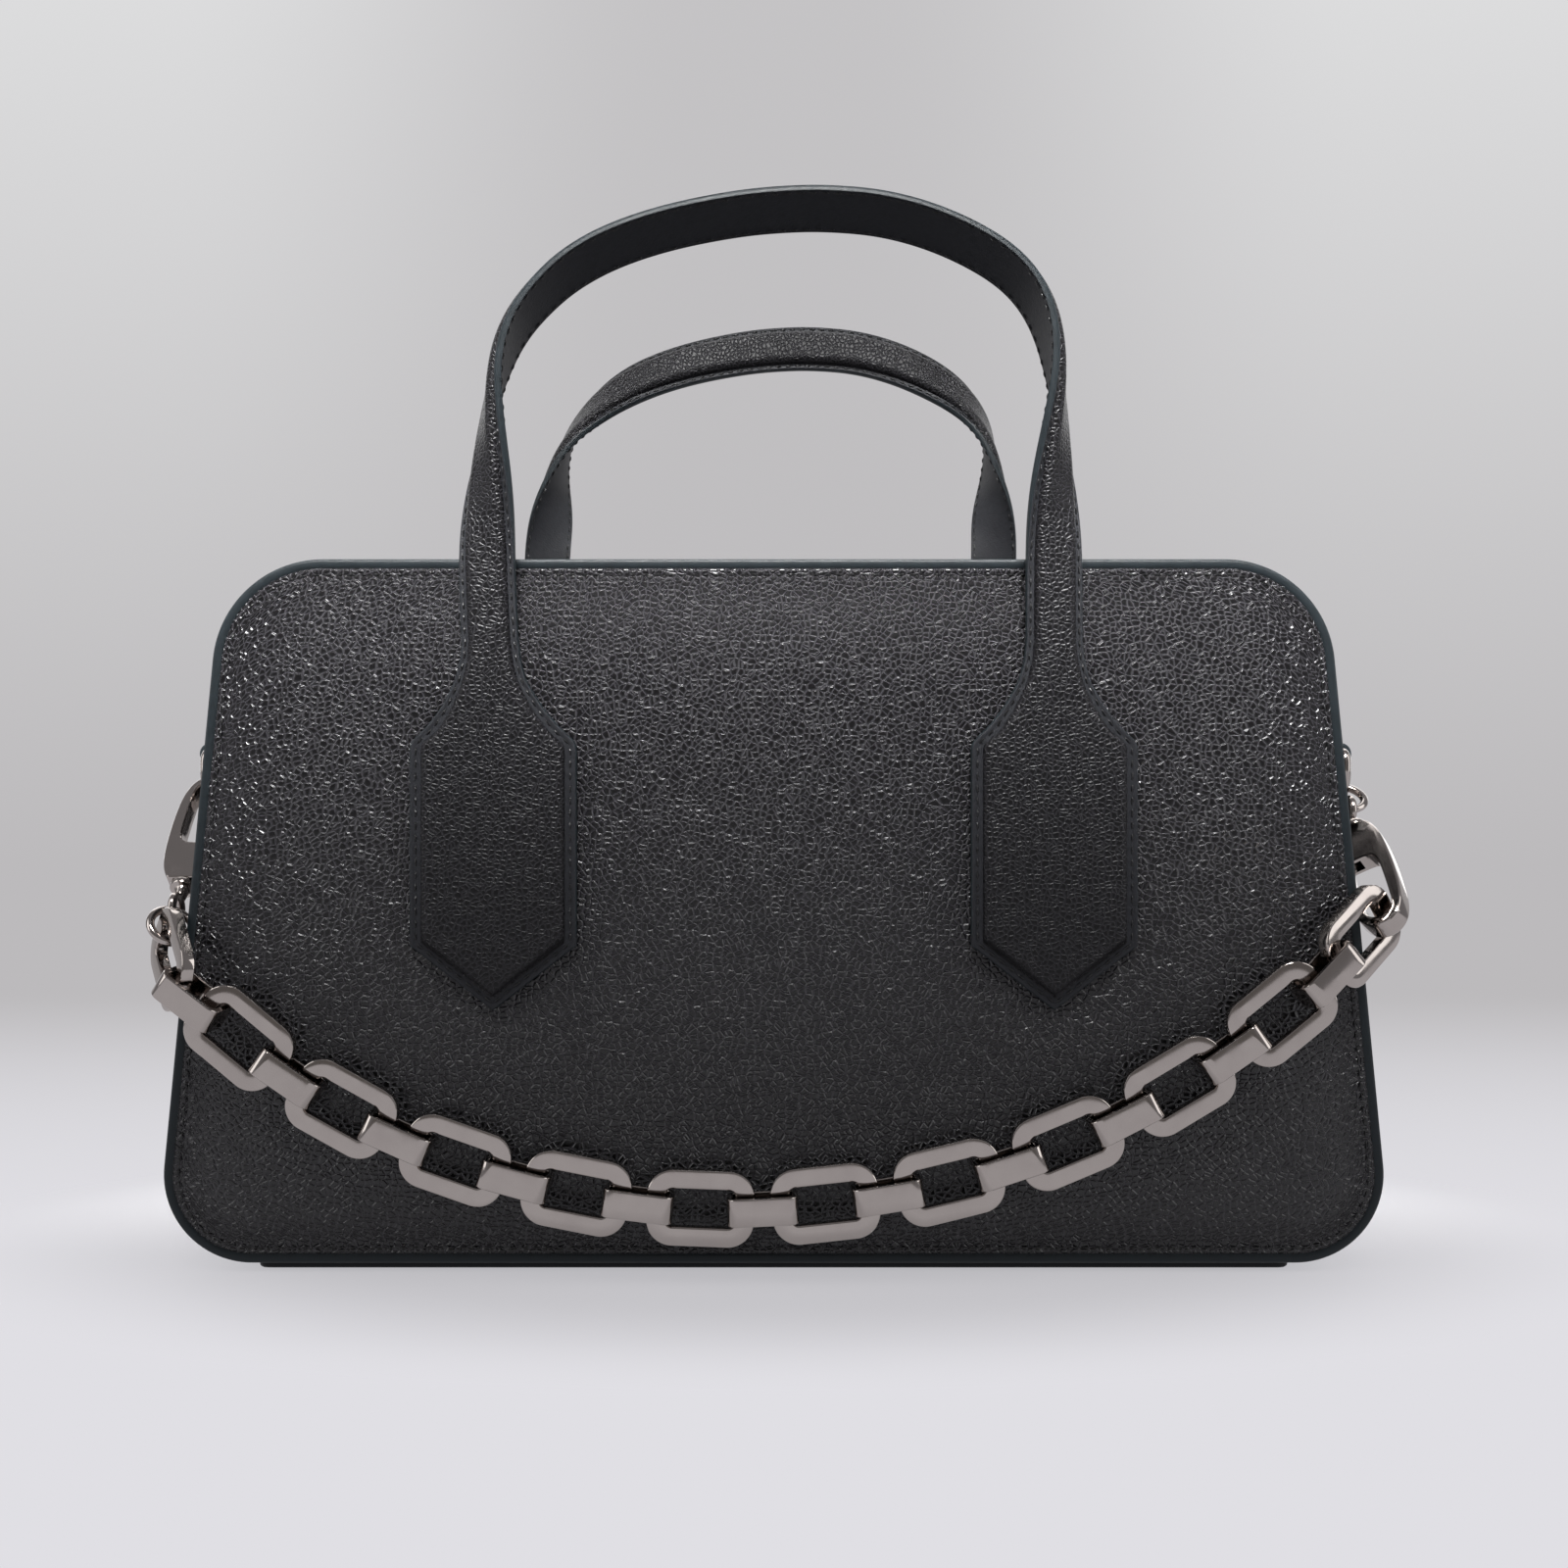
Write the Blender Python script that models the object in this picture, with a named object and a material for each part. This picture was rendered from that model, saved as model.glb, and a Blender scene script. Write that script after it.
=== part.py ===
"""Structured leather handbag with two twisted handles, a zip along the top and a metal chain.

Metres, +Z up. X runs to the right along the front, Y runs from the front to the back, and the bag
stands on the plane z = 0 with its middle at x = y = 0.
"""
import math

import bmesh
import bpy
from mathutils import Matrix, Vector

for old in list(bpy.data.objects):
    bpy.data.objects.remove(old, do_unlink=True)

# clearances
GAP = 0.0003
LINK_GAP = 0.00036

# outline of the front and rear panels, from the corners where their straight edges would meet
LOWER_HALF_WIDTH = 0.1679
UPPER_HALF_WIDTH = 0.1496
PANEL_LOW_Z = 0.0025
PANEL_TOP_Z = 0.1934
LOWER_CORNER_RADIUS = 0.024
UPPER_CORNER_RADIUS = 0.030
CORNER_STEPS = 6

# panels
PANEL_THICKNESS = 0.0020
PANEL_PUFF = 0.0040
PUFF_MARGIN = 0.033
PUFF_CORNER_RADIUS = 0.018
# the panel's swell: share of the way in from the outline, share of the puff
PUFF_FRONT_SHARES = ((0.03, 0.0), (0.17, 0.0), (0.36, 0.42), (0.58, 0.78), (0.80, 0.95),
                     (1.0, 1.0))
PUFF_BACK_SHARES = ((1.0, 1.0), (0.58, 0.78), (0.17, 0.0), (0.0, 0.0))

# gusset band between the panels, and the two strips beside the zip
GUSSET_HALF_DEPTH = 0.050
GUSSET_THICKNESS = 0.0016
SEAM_DEPTH = 0.0034
EDGE_INSET = 0.0004
GUSSET_BULGE = 0.0040
SIDE_BULGE_SHARE = 0.2
# the strips end this far inside the corners where the outline's straight edges would meet
TOP_STRIP_SETBACK = 0.0316
TOP_STRIP_HALF_LENGTH = UPPER_HALF_WIDTH - TOP_STRIP_SETBACK
ZIP_HALF_OPENING = 0.0085

# base
BASE_SETBACK = 0.0264
BASE_HALF_LENGTH = LOWER_HALF_WIDTH - BASE_SETBACK
BASE_HALF_DEPTH = 0.0478
BASE_EDGE_BEVEL = 0.0008
BOARD_SETBACK = 0.0339
BOARD_HALF_LENGTH = LOWER_HALF_WIDTH - BOARD_SETBACK
BOARD_HALF_DEPTH = 0.044
BOARD_THICKNESS = 0.0022

# zip
TAPE_THICKNESS = 0.0007
TAPE_OUTER_Y = 0.0150
TAPE_INNER_Y = 0.0009
COIL_WIDTH = 0.0026
COIL_HEIGHT = 0.0022
COIL_SEAM = 0.0010
COIL_SETBACK = 0.0035
COIL_HALF_LENGTH = TOP_STRIP_HALF_LENGTH - COIL_SETBACK
BRIDGE_THICKNESS = 0.0004
SLIDER_LENGTH = 0.0100
SLIDER_WIDTH = 0.0094
SLIDER_PLATE = 0.0011
SLIDER_SETBACK = 0.0085
SLIDER_X = SLIDER_SETBACK - COIL_HALF_LENGTH
BAIL_WIRE = 0.0009
BAIL_HEIGHT = 0.0046
BAIL_HALF_SPAN = 0.0030
PULL_WIRE = 0.0008
PULL_HALF_WIDTH = 0.0042
PULL_RING_LENGTH = 0.0090
PULL_TAB_LENGTH = 0.0210
PULL_TAB_THICKNESS = 0.0018
STOP_LENGTH = 0.0030

# handle tabs
TAB_X = 0.0750
TAB_HALF_WIDTH = 0.0222
TAB_TIP_Z = 0.0716
TAB_LOW_Z = 0.0889
TAB_SHOULDER_Z = 0.1431
TAB_FLANGE = 0.0020
TAB_RAISE = 0.0018
TAB_FLANGE_WIDTH = 0.0030
TAB_ROUND_WIDTH = 0.0016
TAB_BEVEL = 0.0004
NECK_HALF_WIDTH = 0.0079
# the neck's hollow curve: share of the way from neck to full width, share of the way up
NECK_CURVE_SHARES = ((0.67, 0.20), (0.38, 0.46), (0.11, 0.76))

# handle straps
STRAP_HALF_WIDTH = 0.0075
STRAP_FLANGE = 0.0020
STRAP_THICKNESS = 0.0042
STRAP_RAISE_HALF_WIDTH = 0.0056
STRAP_CROWN_HALF_WIDTH = 0.0036
HINGE_Z = 0.168
HANDLE_TOP_Z = 0.2867
# the strap's middle line: share of TAB_X across, share of the rise above the hinge
HANDLE_PATH_SHARES = (
    (-1.01, 0.00), (-1.02, 0.12), (-1.025, 0.23), (-1.025, 0.35), (-1.02, 0.44), (-1.01, 0.53),
    (-0.99, 0.62), (-0.96, 0.69), (-0.91, 0.75), (-0.84, 0.80), (-0.76, 0.85), (-0.63, 0.90),
    (-0.49, 0.935), (-0.35, 0.96), (-0.21, 0.978), (-0.07, 0.992), (0.14, 1.00), (0.35, 0.992),
    (0.49, 0.973), (0.63, 0.942), (0.77, 0.897), (0.85, 0.862), (0.915, 0.82), (0.965, 0.765),
    (0.995, 0.70), (1.01, 0.62), (1.013, 0.53), (1.01, 0.44), (1.005, 0.35), (1.00, 0.23),
    (1.00, 0.12), (1.00, 0.00))
# how far the strap has turned about its own line, in degrees, against the share of the rise
FRONT_TWIST = ((0.0, 0.0), (0.22, 3.0), (0.36, 32.0), (0.45, 54.0), (0.53, 70.0), (0.62, 88.0),
               (0.75, 102.0), (0.88, 110.0), (1.0, 112.0))
REAR_TWIST = ((0.0, 0.0), (0.42, 4.0), (0.53, 42.0), (0.60, 68.0), (0.65, 84.0), (0.72, 102.0),
              (0.80, 122.0), (0.90, 142.0), (1.0, 150.0))

# side rings and the folded leather tabs that hold them; the rings hang off the bag's sides
RING_CENTRE_Z = 0.1385
LEFT_RING_STANDOFF = 0.0136372
RIGHT_RING_STANDOFF = 0.0151372
RING_Z_SHARE = (RING_CENTRE_Z - PANEL_LOW_Z) / (PANEL_TOP_Z - PANEL_LOW_Z)
RING_SIDE_X = LOWER_HALF_WIDTH + (UPPER_HALF_WIDTH - LOWER_HALF_WIDTH) * RING_Z_SHARE
LEFT_RING_X = -RING_SIDE_X - LEFT_RING_STANDOFF
RIGHT_RING_X = RING_SIDE_X + RIGHT_RING_STANDOFF
RING_RADIUS = 0.0110
RING_WIRE = 0.0016
RING_LEG = 0.0020
RING_CORNER = 0.0030
LOOP_THICKNESS = 0.0015
LOOP_HALF_WIDTH = 0.0075
LOOP_SEWN_LENGTH = 0.0200
LOOP_SEWN_START = 0.0110

# chain: oval flat links and band links
OVAL_LENGTH = 0.0286
OVAL_HEIGHT = 0.0201
OVAL_BAR = 0.0050
OVAL_THICKNESS = 0.0034
OVAL_CORNER = 0.0070
OVAL_EDGE = 0.0005
BAND_LENGTH = 0.01895
BAND_DEPTH = 0.0112
BAND_HEIGHT = 0.0073
BAND_WALL = 0.0016
BAND_CORNER = 0.0030
BAND_EDGE = 0.0004
LINK_CORNER_STEPS = 3
CHAIN_LOW_X = 0.0136
CHAIN_LOW_Z = 0.0212
CHAIN_STANDOFF = 0.0061
LOW_OVAL = 6
# how far each link's length rises to the right, in degrees, first oval 1, band b, oval 2 and so on
CHAIN_RISE = (-40.0, -34.6, -29.2, -24.2, -19.4, -15.2, -11.2, -7.4, -2.2, 2.6, 6.2, 9.4, 13.6,
              18.2, 22.8, 27.2, 31.0, 35.0, 39.4)
# the turned links at the two ends: rise, swing and roll against their neighbour, in degrees
LEFT_BAND_TURN = (4.0, -6.4, 14.0)
LEFT_OVAL_TURN = (-8.0, -37.9, 17.4)
RIGHT_BAND_TURN = (4.1, 11.1, 7.7)
RIGHT_OVAL_TURN = (-5.3, 13.9, 9.5)

# clasps; shares in the outlines are of CLASP_UNIT, across and along
CLASP_UNIT = 0.043
CLASP_THICKNESS = 0.0060
CLASP_EDGE = 0.0007
CLASP_OUTLINE_SHARES = (
    (-0.095, 0.85), (-0.135, 0.76), (-0.160, 0.63), (-0.170, 0.45), (-0.168, 0.25), (-0.155, 0.09),
    (-0.123, -0.04), (-0.068, -0.115), (0.0, -0.14), (0.068, -0.125), (0.123, -0.07),
    (0.158, 0.015), (0.165, 0.125), (0.105, 0.13), (0.093, 0.015), (0.060, -0.043), (0.0, -0.065),
    (-0.050, -0.048), (-0.078, 0.013), (-0.085, 0.125), (-0.088, 0.275), (-0.085, 0.425),
    (-0.060, 0.495), (0.0, 0.515), (0.150, 0.52), (0.155, 0.61), (0.130, 0.76), (0.095, 0.85))
GATE_OUTLINE_SHARES = (
    (0.105, 0.14), (0.164, 0.135), (0.168, 0.225), (0.188, 0.265), (0.188, 0.335), (0.170, 0.375),
    (0.170, 0.50), (0.160, 0.59), (0.143, 0.633), (0.10, 0.65), (0.058, 0.633), (0.040, 0.59),
    (0.055, 0.545), (0.098, 0.475), (0.108, 0.30))
GATE_PIVOT_SHARES = (0.10, 0.59)
GATE_THICKNESS = 0.0026
GATE_EDGE = 0.0003
SLOT_WIDTH = 0.0034
SLOT_U_SHARES = (0.025, 0.21)
SLOT_V_SHARES = (0.455, 0.665)
PIN_RADIUS = 0.0009
PIN_HOLE_RADIUS = 0.0012
STEM_RADIUS = 0.0012
STEM_BORE_RADIUS = 0.0015
HEAD_RADIUS = 0.0019
HEAD_CAVITY_RADIUS = 0.0022
HEAD_V_SHARES = (0.70, 0.745)
CAVITY_V_SHARES = (0.6925, 0.7525)
BASE_V_SHARE = 0.85
COLLAR_RADIUS = 0.0035
COLLAR_LENGTH = 0.0020
NECK_RADIUS = 0.0023
NECK_LENGTH = 0.0020
EYE_RADIUS = 0.0037
EYE_WIRE = 0.0012
EYE_V_SHARE = 1.075
TURNED_SEGMENTS = 12
WIRE_SEGMENTS = 6
RING_STATIONS = 20
WIRE_RING_RADIUS = 0.0057
WIRE_RING_WIRE = 0.00115
RING_SEAT_GAP = 0.0007
LEFT_RING_ANGLE = 45.0
RIGHT_RING_ANGLE = 51.3
HOOKED_BAR_SHARES = (0.0, 0.040)
RIGHT_CLASP_ROLL = -5.0

# which way from the middle each face lies
FRONT_SHARE = -1.0
REAR_SHARE = 1.0


def material(name, colour, roughness, metallic):
    """Make one Principled material."""
    made = bpy.data.materials.new(name)
    made.use_nodes = True
    shader = made.node_tree.nodes["Principled BSDF"]
    shader.inputs["Base Color"].default_value = (*colour, 1.0)
    shader.inputs["Roughness"].default_value = roughness
    shader.inputs["Metallic"].default_value = metallic
    return made


LEATHER = material("grained_leather", (0.016, 0.016, 0.018), 0.48, 0.0)
LINING = material("smooth_leather", (0.012, 0.013, 0.014), 0.55, 0.0)
BOARD = material("stiff_board", (0.05, 0.05, 0.05), 0.8, 0.0)
METAL = material("dark_polished_metal", (0.30, 0.28, 0.27), 0.12, 1.0)
TAPE = material("zip_tape", (0.015, 0.015, 0.016), 0.85, 0.0)


def finish(bm, name, look, matrix=None, smooth=True, parent=None):
    """Turn a bmesh into one named object with its faces pointing out."""
    bmesh.ops.recalc_face_normals(bm, faces=bm.faces[:])
    mesh = bpy.data.meshes.new(name)
    bm.to_mesh(mesh)
    bm.free()
    mesh.materials.append(look)
    if smooth:
        mesh.shade_smooth()
        mesh.set_sharp_from_angle(angle=math.radians(35.0))
    made = bpy.data.objects.new(name, mesh)
    bpy.context.scene.collection.objects.link(made)
    if parent is not None:
        made.parent = parent
        matrix = parent.matrix_world.inverted() @ (matrix or Matrix.Identity(4))
    if matrix is not None:
        made.matrix_basis = matrix
    return made


def empty(name, place):
    """An empty that carries the pieces of one moving body."""
    made = bpy.data.objects.new(name, None)
    made.location = place
    bpy.context.scene.collection.objects.link(made)
    bpy.context.view_layer.update()
    return made


def rings_to_faces(bm, rings, closed):
    """Join rings of vertices of equal length with quads, and cap the ends of an open run."""
    count = len(rings[0])
    pairs = list(zip(rings, rings[1:]))
    if closed:
        pairs.append((rings[-1], rings[0]))
    for first, second in pairs:
        for i in range(count):
            j = (i + 1) % count
            bm.faces.new((first[i], first[j], second[j], second[i]))
    if not closed:
        bm.faces.new(rings[0])
        bm.faces.new(rings[-1])


def sweep(bm, stations, section, closed):
    """Sweep a section of (across, up) points along stations of (point, across axis, up axis)."""
    rings = []
    for point, across, up in stations:
        rings.append([bm.verts.new(point + across * a + up * b) for a, b in section])
    rings_to_faces(bm, rings, closed)


def bevelled_section(half_across, half_up, edge):
    """Eight points of a bar with its four long edges cut off."""
    return ((half_across, edge - half_up), (half_across, half_up - edge),
            (half_across - edge, half_up), (edge - half_across, half_up),
            (-half_across, half_up - edge), (-half_across, edge - half_up),
            (edge - half_across, -half_up), (half_across - edge, -half_up))


def round_section(radius, count):
    """Points of a round wire."""
    turn = 2.0 * math.pi / count
    return tuple((radius * math.cos(turn * (i + 0.5)), radius * math.sin(turn * (i + 0.5)))
                 for i in range(count))


def rounded_outline(corners, radii, steps):
    """Points and outward normals round a polygon whose corners are filleted, in the XZ plane."""
    out = []
    count = len(corners)
    for i in range(count):
        here = Vector(corners[i])
        to_last = (Vector(corners[i - 1]) - here).normalized()
        to_next = (Vector(corners[(i + 1) % count]) - here).normalized()
        half = to_last.angle(to_next) / 2.0
        radius = radii[i]
        middle = here + (to_last + to_next).normalized() * (radius / math.sin(half))
        start = here + to_last * (radius / math.tan(half))
        first = (start - middle).normalized()
        sweep_angle = math.pi - 2.0 * half
        for k in range(steps + 1):
            angle = sweep_angle * k / steps
            normal = Vector((first.x * math.cos(angle) - first.y * math.sin(angle),
                             first.x * math.sin(angle) + first.y * math.cos(angle)))
            out.append((middle + normal * radius, normal))
    return out


def rounded_loop(half_a, half_b, radius, steps):
    """Points and outward normals round a rounded rectangle centred on the origin."""
    corners = ((-half_a, half_b), (-half_a, -half_b), (half_a, -half_b), (half_a, half_b))
    return rounded_outline(corners, (radius,) * 4, steps)


def inset(points, distance):
    """Move each edge of a closed outline inwards; the outline runs anticlockwise."""
    out = []
    count = len(points)
    for i in range(count):
        here = Vector(points[i])
        back = (here - Vector(points[i - 1])).normalized()
        ahead = (Vector(points[(i + 1) % count]) - here).normalized()
        back_normal = Vector((-back.y, back.x))
        ahead_normal = Vector((-ahead.y, ahead.x))
        both = back_normal + ahead_normal
        out.append(here + both * (distance / (1.0 + back_normal.dot(ahead_normal))))
    return out


def between(table, share):
    """Read a value between the rows of a table of (share, value)."""
    for (low, first), (high, second) in zip(table, table[1:]):
        if share <= high:
            return first + (second - first) * (share - low) / (high - low)
    return table[-1][1]


def plate(bm, outline, half_thickness, edge):
    """Extrude an anticlockwise outline to both sides of its plane, with cut edges."""
    small = inset(outline, edge)
    levels = ((small, -half_thickness), (outline, edge - half_thickness),
              (outline, half_thickness - edge), (small, half_thickness))
    rings = [[bm.verts.new((p[0], level, p[1])) for p in loop] for loop, level in levels]
    rings_to_faces(bm, rings, False)


def box(bm, low, high):
    """A box between two corners."""
    size = [h - l for l, h in zip(low, high)]
    middle = [(h + l) / 2.0 for l, h in zip(low, high)]
    matrix = Matrix.Translation(middle) @ Matrix.Diagonal((*size, 1.0))
    bmesh.ops.create_cube(bm, size=1.0, matrix=matrix)


def apply_cuts(made, cutters, operation="DIFFERENCE"):
    """Cut or join with other objects, keep the result in the mesh and remove the tools."""
    for cutter in cutters:
        step = made.modifiers.new("cut", "BOOLEAN")
        step.operation = operation
        step.solver = "EXACT"
        step.object = cutter
    bpy.context.view_layer.update()
    view = bpy.context.evaluated_depsgraph_get()
    result = bpy.data.meshes.new_from_object(made.evaluated_get(view))
    made.modifiers.clear()
    made.data = result
    result.shade_smooth()
    result.set_sharp_from_angle(angle=math.radians(35.0))
    for cutter in cutters:
        bpy.data.objects.remove(cutter, do_unlink=True)


# the bag's outline, from the top left corner down and round to the top right
CORNERS = ((-UPPER_HALF_WIDTH, PANEL_TOP_Z), (-LOWER_HALF_WIDTH, PANEL_LOW_Z),
           (LOWER_HALF_WIDTH, PANEL_LOW_Z), (UPPER_HALF_WIDTH, PANEL_TOP_Z))
RADII = (UPPER_CORNER_RADIUS, LOWER_CORNER_RADIUS, LOWER_CORNER_RADIUS, UPPER_CORNER_RADIUS)
OUTLINE = rounded_outline(CORNERS, RADII, CORNER_STEPS)


def web_height(share, bulge):
    """Height of the gusset's outer face over the panel's edge, at a share of the half depth."""
    return -SEAM_DEPTH + GUSSET_BULGE * bulge * (1.0 - share * share)


def make_panel(name, side):
    """A panel: flat where it is sewn, then puffed out to a flat middle."""
    slope = (LOWER_HALF_WIDTH - UPPER_HALF_WIDTH) / (PANEL_TOP_Z - PANEL_LOW_Z)
    low = PANEL_LOW_Z + PUFF_MARGIN
    high = PANEL_TOP_Z - PUFF_MARGIN
    low_half = LOWER_HALF_WIDTH - slope * PUFF_MARGIN - PUFF_MARGIN
    high_half = UPPER_HALF_WIDTH + slope * PUFF_MARGIN - PUFF_MARGIN
    inner = rounded_outline(((-high_half, high), (-low_half, low), (low_half, low),
                             (high_half, high)), (PUFF_CORNER_RADIUS,) * 4, CORNER_STEPS)
    front = [(0.0, PANEL_THICKNESS / 2.0)]
    front += [(share, PANEL_THICKNESS + PANEL_PUFF * rise) for share, rise in PUFF_FRONT_SHARES]
    back = [(share, PANEL_PUFF * rise) for share, rise in PUFF_BACK_SHARES]
    bm = bmesh.new()
    rings = []
    for share, out in back + front:
        y = side * (GUSSET_HALF_DEPTH + GAP + out)
        ring = []
        for (outer_point, _), (inner_point, _) in zip(OUTLINE, inner):
            point = outer_point.lerp(inner_point, share)
            ring.append(bm.verts.new((point.x, y, point.y)))
        rings.append(ring)
    rings_to_faces(bm, rings, False)
    return finish(bm, name, LEATHER)


def gusset_stations():
    """Stations of the band: point, outward normal and bulge share."""
    steps = CORNER_STEPS + 1
    out = [(Vector((-TOP_STRIP_HALF_LENGTH, PANEL_TOP_Z)), Vector((0.0, 1.0)), 1.0)]
    for i, (point, normal) in enumerate(OUTLINE):
        corner, k = divmod(i, steps)
        share = k / CORNER_STEPS
        bulge = (1.0 - share * (1.0 - SIDE_BULGE_SHARE), SIDE_BULGE_SHARE * (1.0 - share),
                 SIDE_BULGE_SHARE * share, SIDE_BULGE_SHARE + share * (1.0 - SIDE_BULGE_SHARE))[corner]
        out.append((point, normal, bulge))
    out.append((Vector((TOP_STRIP_HALF_LENGTH, PANEL_TOP_Z)), Vector((0.0, 1.0)), 1.0))
    return out


def make_gusset():
    """The band: a channel whose turned-out edges are sewn behind the panels' edges."""
    half = GUSSET_HALF_DEPTH
    t = GUSSET_THICKNESS
    bm = bmesh.new()
    rings = []
    for point, normal, bulge in gusset_stations():
        low = [(-half, -SEAM_DEPTH - t)]
        high = [(-half + t, -SEAM_DEPTH)]
        for share in (-0.55, 0.0, 0.55):
            low.append((half * share, web_height(share, bulge) - t))
            high.append((half * share, web_height(share, bulge)))
        low.append((half, -SEAM_DEPTH - t))
        high.append((half - t, -SEAM_DEPTH))
        section = [(-half, -EDGE_INSET)] + low + [(half, -EDGE_INSET), (half - t, -EDGE_INSET)]
        section += high[::-1] + [(-half + t, -EDGE_INSET)]
        ring = []
        for y, out in section:
            place = point + normal * out
            ring.append(bm.verts.new((place.x, y, place.y)))
        rings.append(ring)
    rings_to_faces(bm, rings, False)
    return finish(bm, "gusset_band", LEATHER)


def make_top_strip(name, side):
    """One of the two strips beside the zip."""
    half = GUSSET_HALF_DEPTH
    t = GUSSET_THICKNESS
    share = ZIP_HALF_OPENING / half
    full = web_height(0.0, 1.0)
    knee = web_height(0.55, 1.0)
    edge = full + (knee - full) * share / 0.55
    section = ((half, -EDGE_INSET), (half, -SEAM_DEPTH - t), (half * 0.55, knee - t),
               (ZIP_HALF_OPENING, edge - t), (ZIP_HALF_OPENING, edge), (half * 0.55, knee),
               (half - t, -SEAM_DEPTH), (half - t, -EDGE_INSET))
    bm = bmesh.new()
    rings = []
    for x in (GAP - TOP_STRIP_HALF_LENGTH, TOP_STRIP_HALF_LENGTH - GAP):
        rings.append([bm.verts.new((x, side * y, PANEL_TOP_Z + z)) for y, z in section])
    rings_to_faces(bm, rings, False)
    return finish(bm, name, LEATHER)


def make_base():
    """The base panel under the bag and the stiff board inside it."""
    top = PANEL_LOW_Z + SEAM_DEPTH - GAP
    bm = bmesh.new()
    corner = rounded_loop(BASE_HALF_LENGTH, BASE_HALF_DEPTH, BASE_EDGE_BEVEL * 4.0, 2)
    outline = [point for point, _ in corner]
    small = inset(outline, BASE_EDGE_BEVEL)
    rings = []
    for loop, z in ((small, 0.0), (outline, BASE_EDGE_BEVEL), (outline, top)):
        rings.append([bm.verts.new((p[0], p[1], z)) for p in loop])
    rings_to_faces(bm, rings, False)
    finish(bm, "base_panel", LINING)
    low = PANEL_LOW_Z + SEAM_DEPTH + GUSSET_THICKNESS + GAP
    bm = bmesh.new()
    box(bm, (-BOARD_HALF_LENGTH, -BOARD_HALF_DEPTH, low),
        (BOARD_HALF_LENGTH, BOARD_HALF_DEPTH, low + BOARD_THICKNESS))
    finish(bm, "base_board", BOARD, smooth=False)


# zip heights, from the strips down
STRIP_KNEE = web_height(0.55, 1.0)
STRIP_FALL = (web_height(0.0, 1.0) - STRIP_KNEE) / (0.55 * GUSSET_HALF_DEPTH)
STRIP_UNDER = web_height(0.0, 1.0) - STRIP_FALL * TAPE_OUTER_Y - GUSSET_THICKNESS
TAPE_TOP = PANEL_TOP_Z + STRIP_UNDER - GAP
COIL_LOW = TAPE_TOP + GAP
COIL_TOP = COIL_LOW + COIL_HEIGHT
SLIDER_TOP = COIL_TOP + GAP + SLIDER_PLATE
PULL_AXIS_Z = SLIDER_TOP + BAIL_HEIGHT - BAIL_WIRE * 2.0 - PULL_WIRE - GAP


def make_zip():
    """Tapes, coils, stops, slider and pull."""
    for name, side in (("front", FRONT_SHARE), ("rear", REAR_SHARE)):
        bm = bmesh.new()
        ends = sorted((side * TAPE_INNER_Y, side * TAPE_OUTER_Y))
        box(bm, (GAP - COIL_HALF_LENGTH, ends[0], TAPE_TOP - TAPE_THICKNESS),
            (COIL_HALF_LENGTH - GAP, ends[1], TAPE_TOP))
        finish(bm, "zip_tape_" + name, TAPE, smooth=False)
        bm = bmesh.new()
        inner = COIL_SEAM / 2.0
        profile = ((inner, COIL_LOW), (inner + COIL_WIDTH, COIL_LOW),
                   (inner + COIL_WIDTH, COIL_LOW + COIL_HEIGHT * 0.5),
                   (inner + COIL_WIDTH * 0.75, COIL_TOP), (inner, COIL_TOP))
        reach = COIL_HALF_LENGTH - STOP_LENGTH - GAP * 2.0
        rings = [[bm.verts.new((x, side * y, z)) for y, z in profile] for x in (-reach, reach)]
        rings_to_faces(bm, rings, False)
        finish(bm, "zip_coil_" + name, METAL)
    half = COIL_SEAM / 2.0 + COIL_WIDTH
    for name, x in (("left", -COIL_HALF_LENGTH), ("right", COIL_HALF_LENGTH - STOP_LENGTH)):
        bm = bmesh.new()
        box(bm, (x, -half, COIL_LOW), (x + STOP_LENGTH, half, COIL_TOP))
        finish(bm, "zip_stop_" + name, METAL, smooth=False)
    make_slider()


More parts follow.
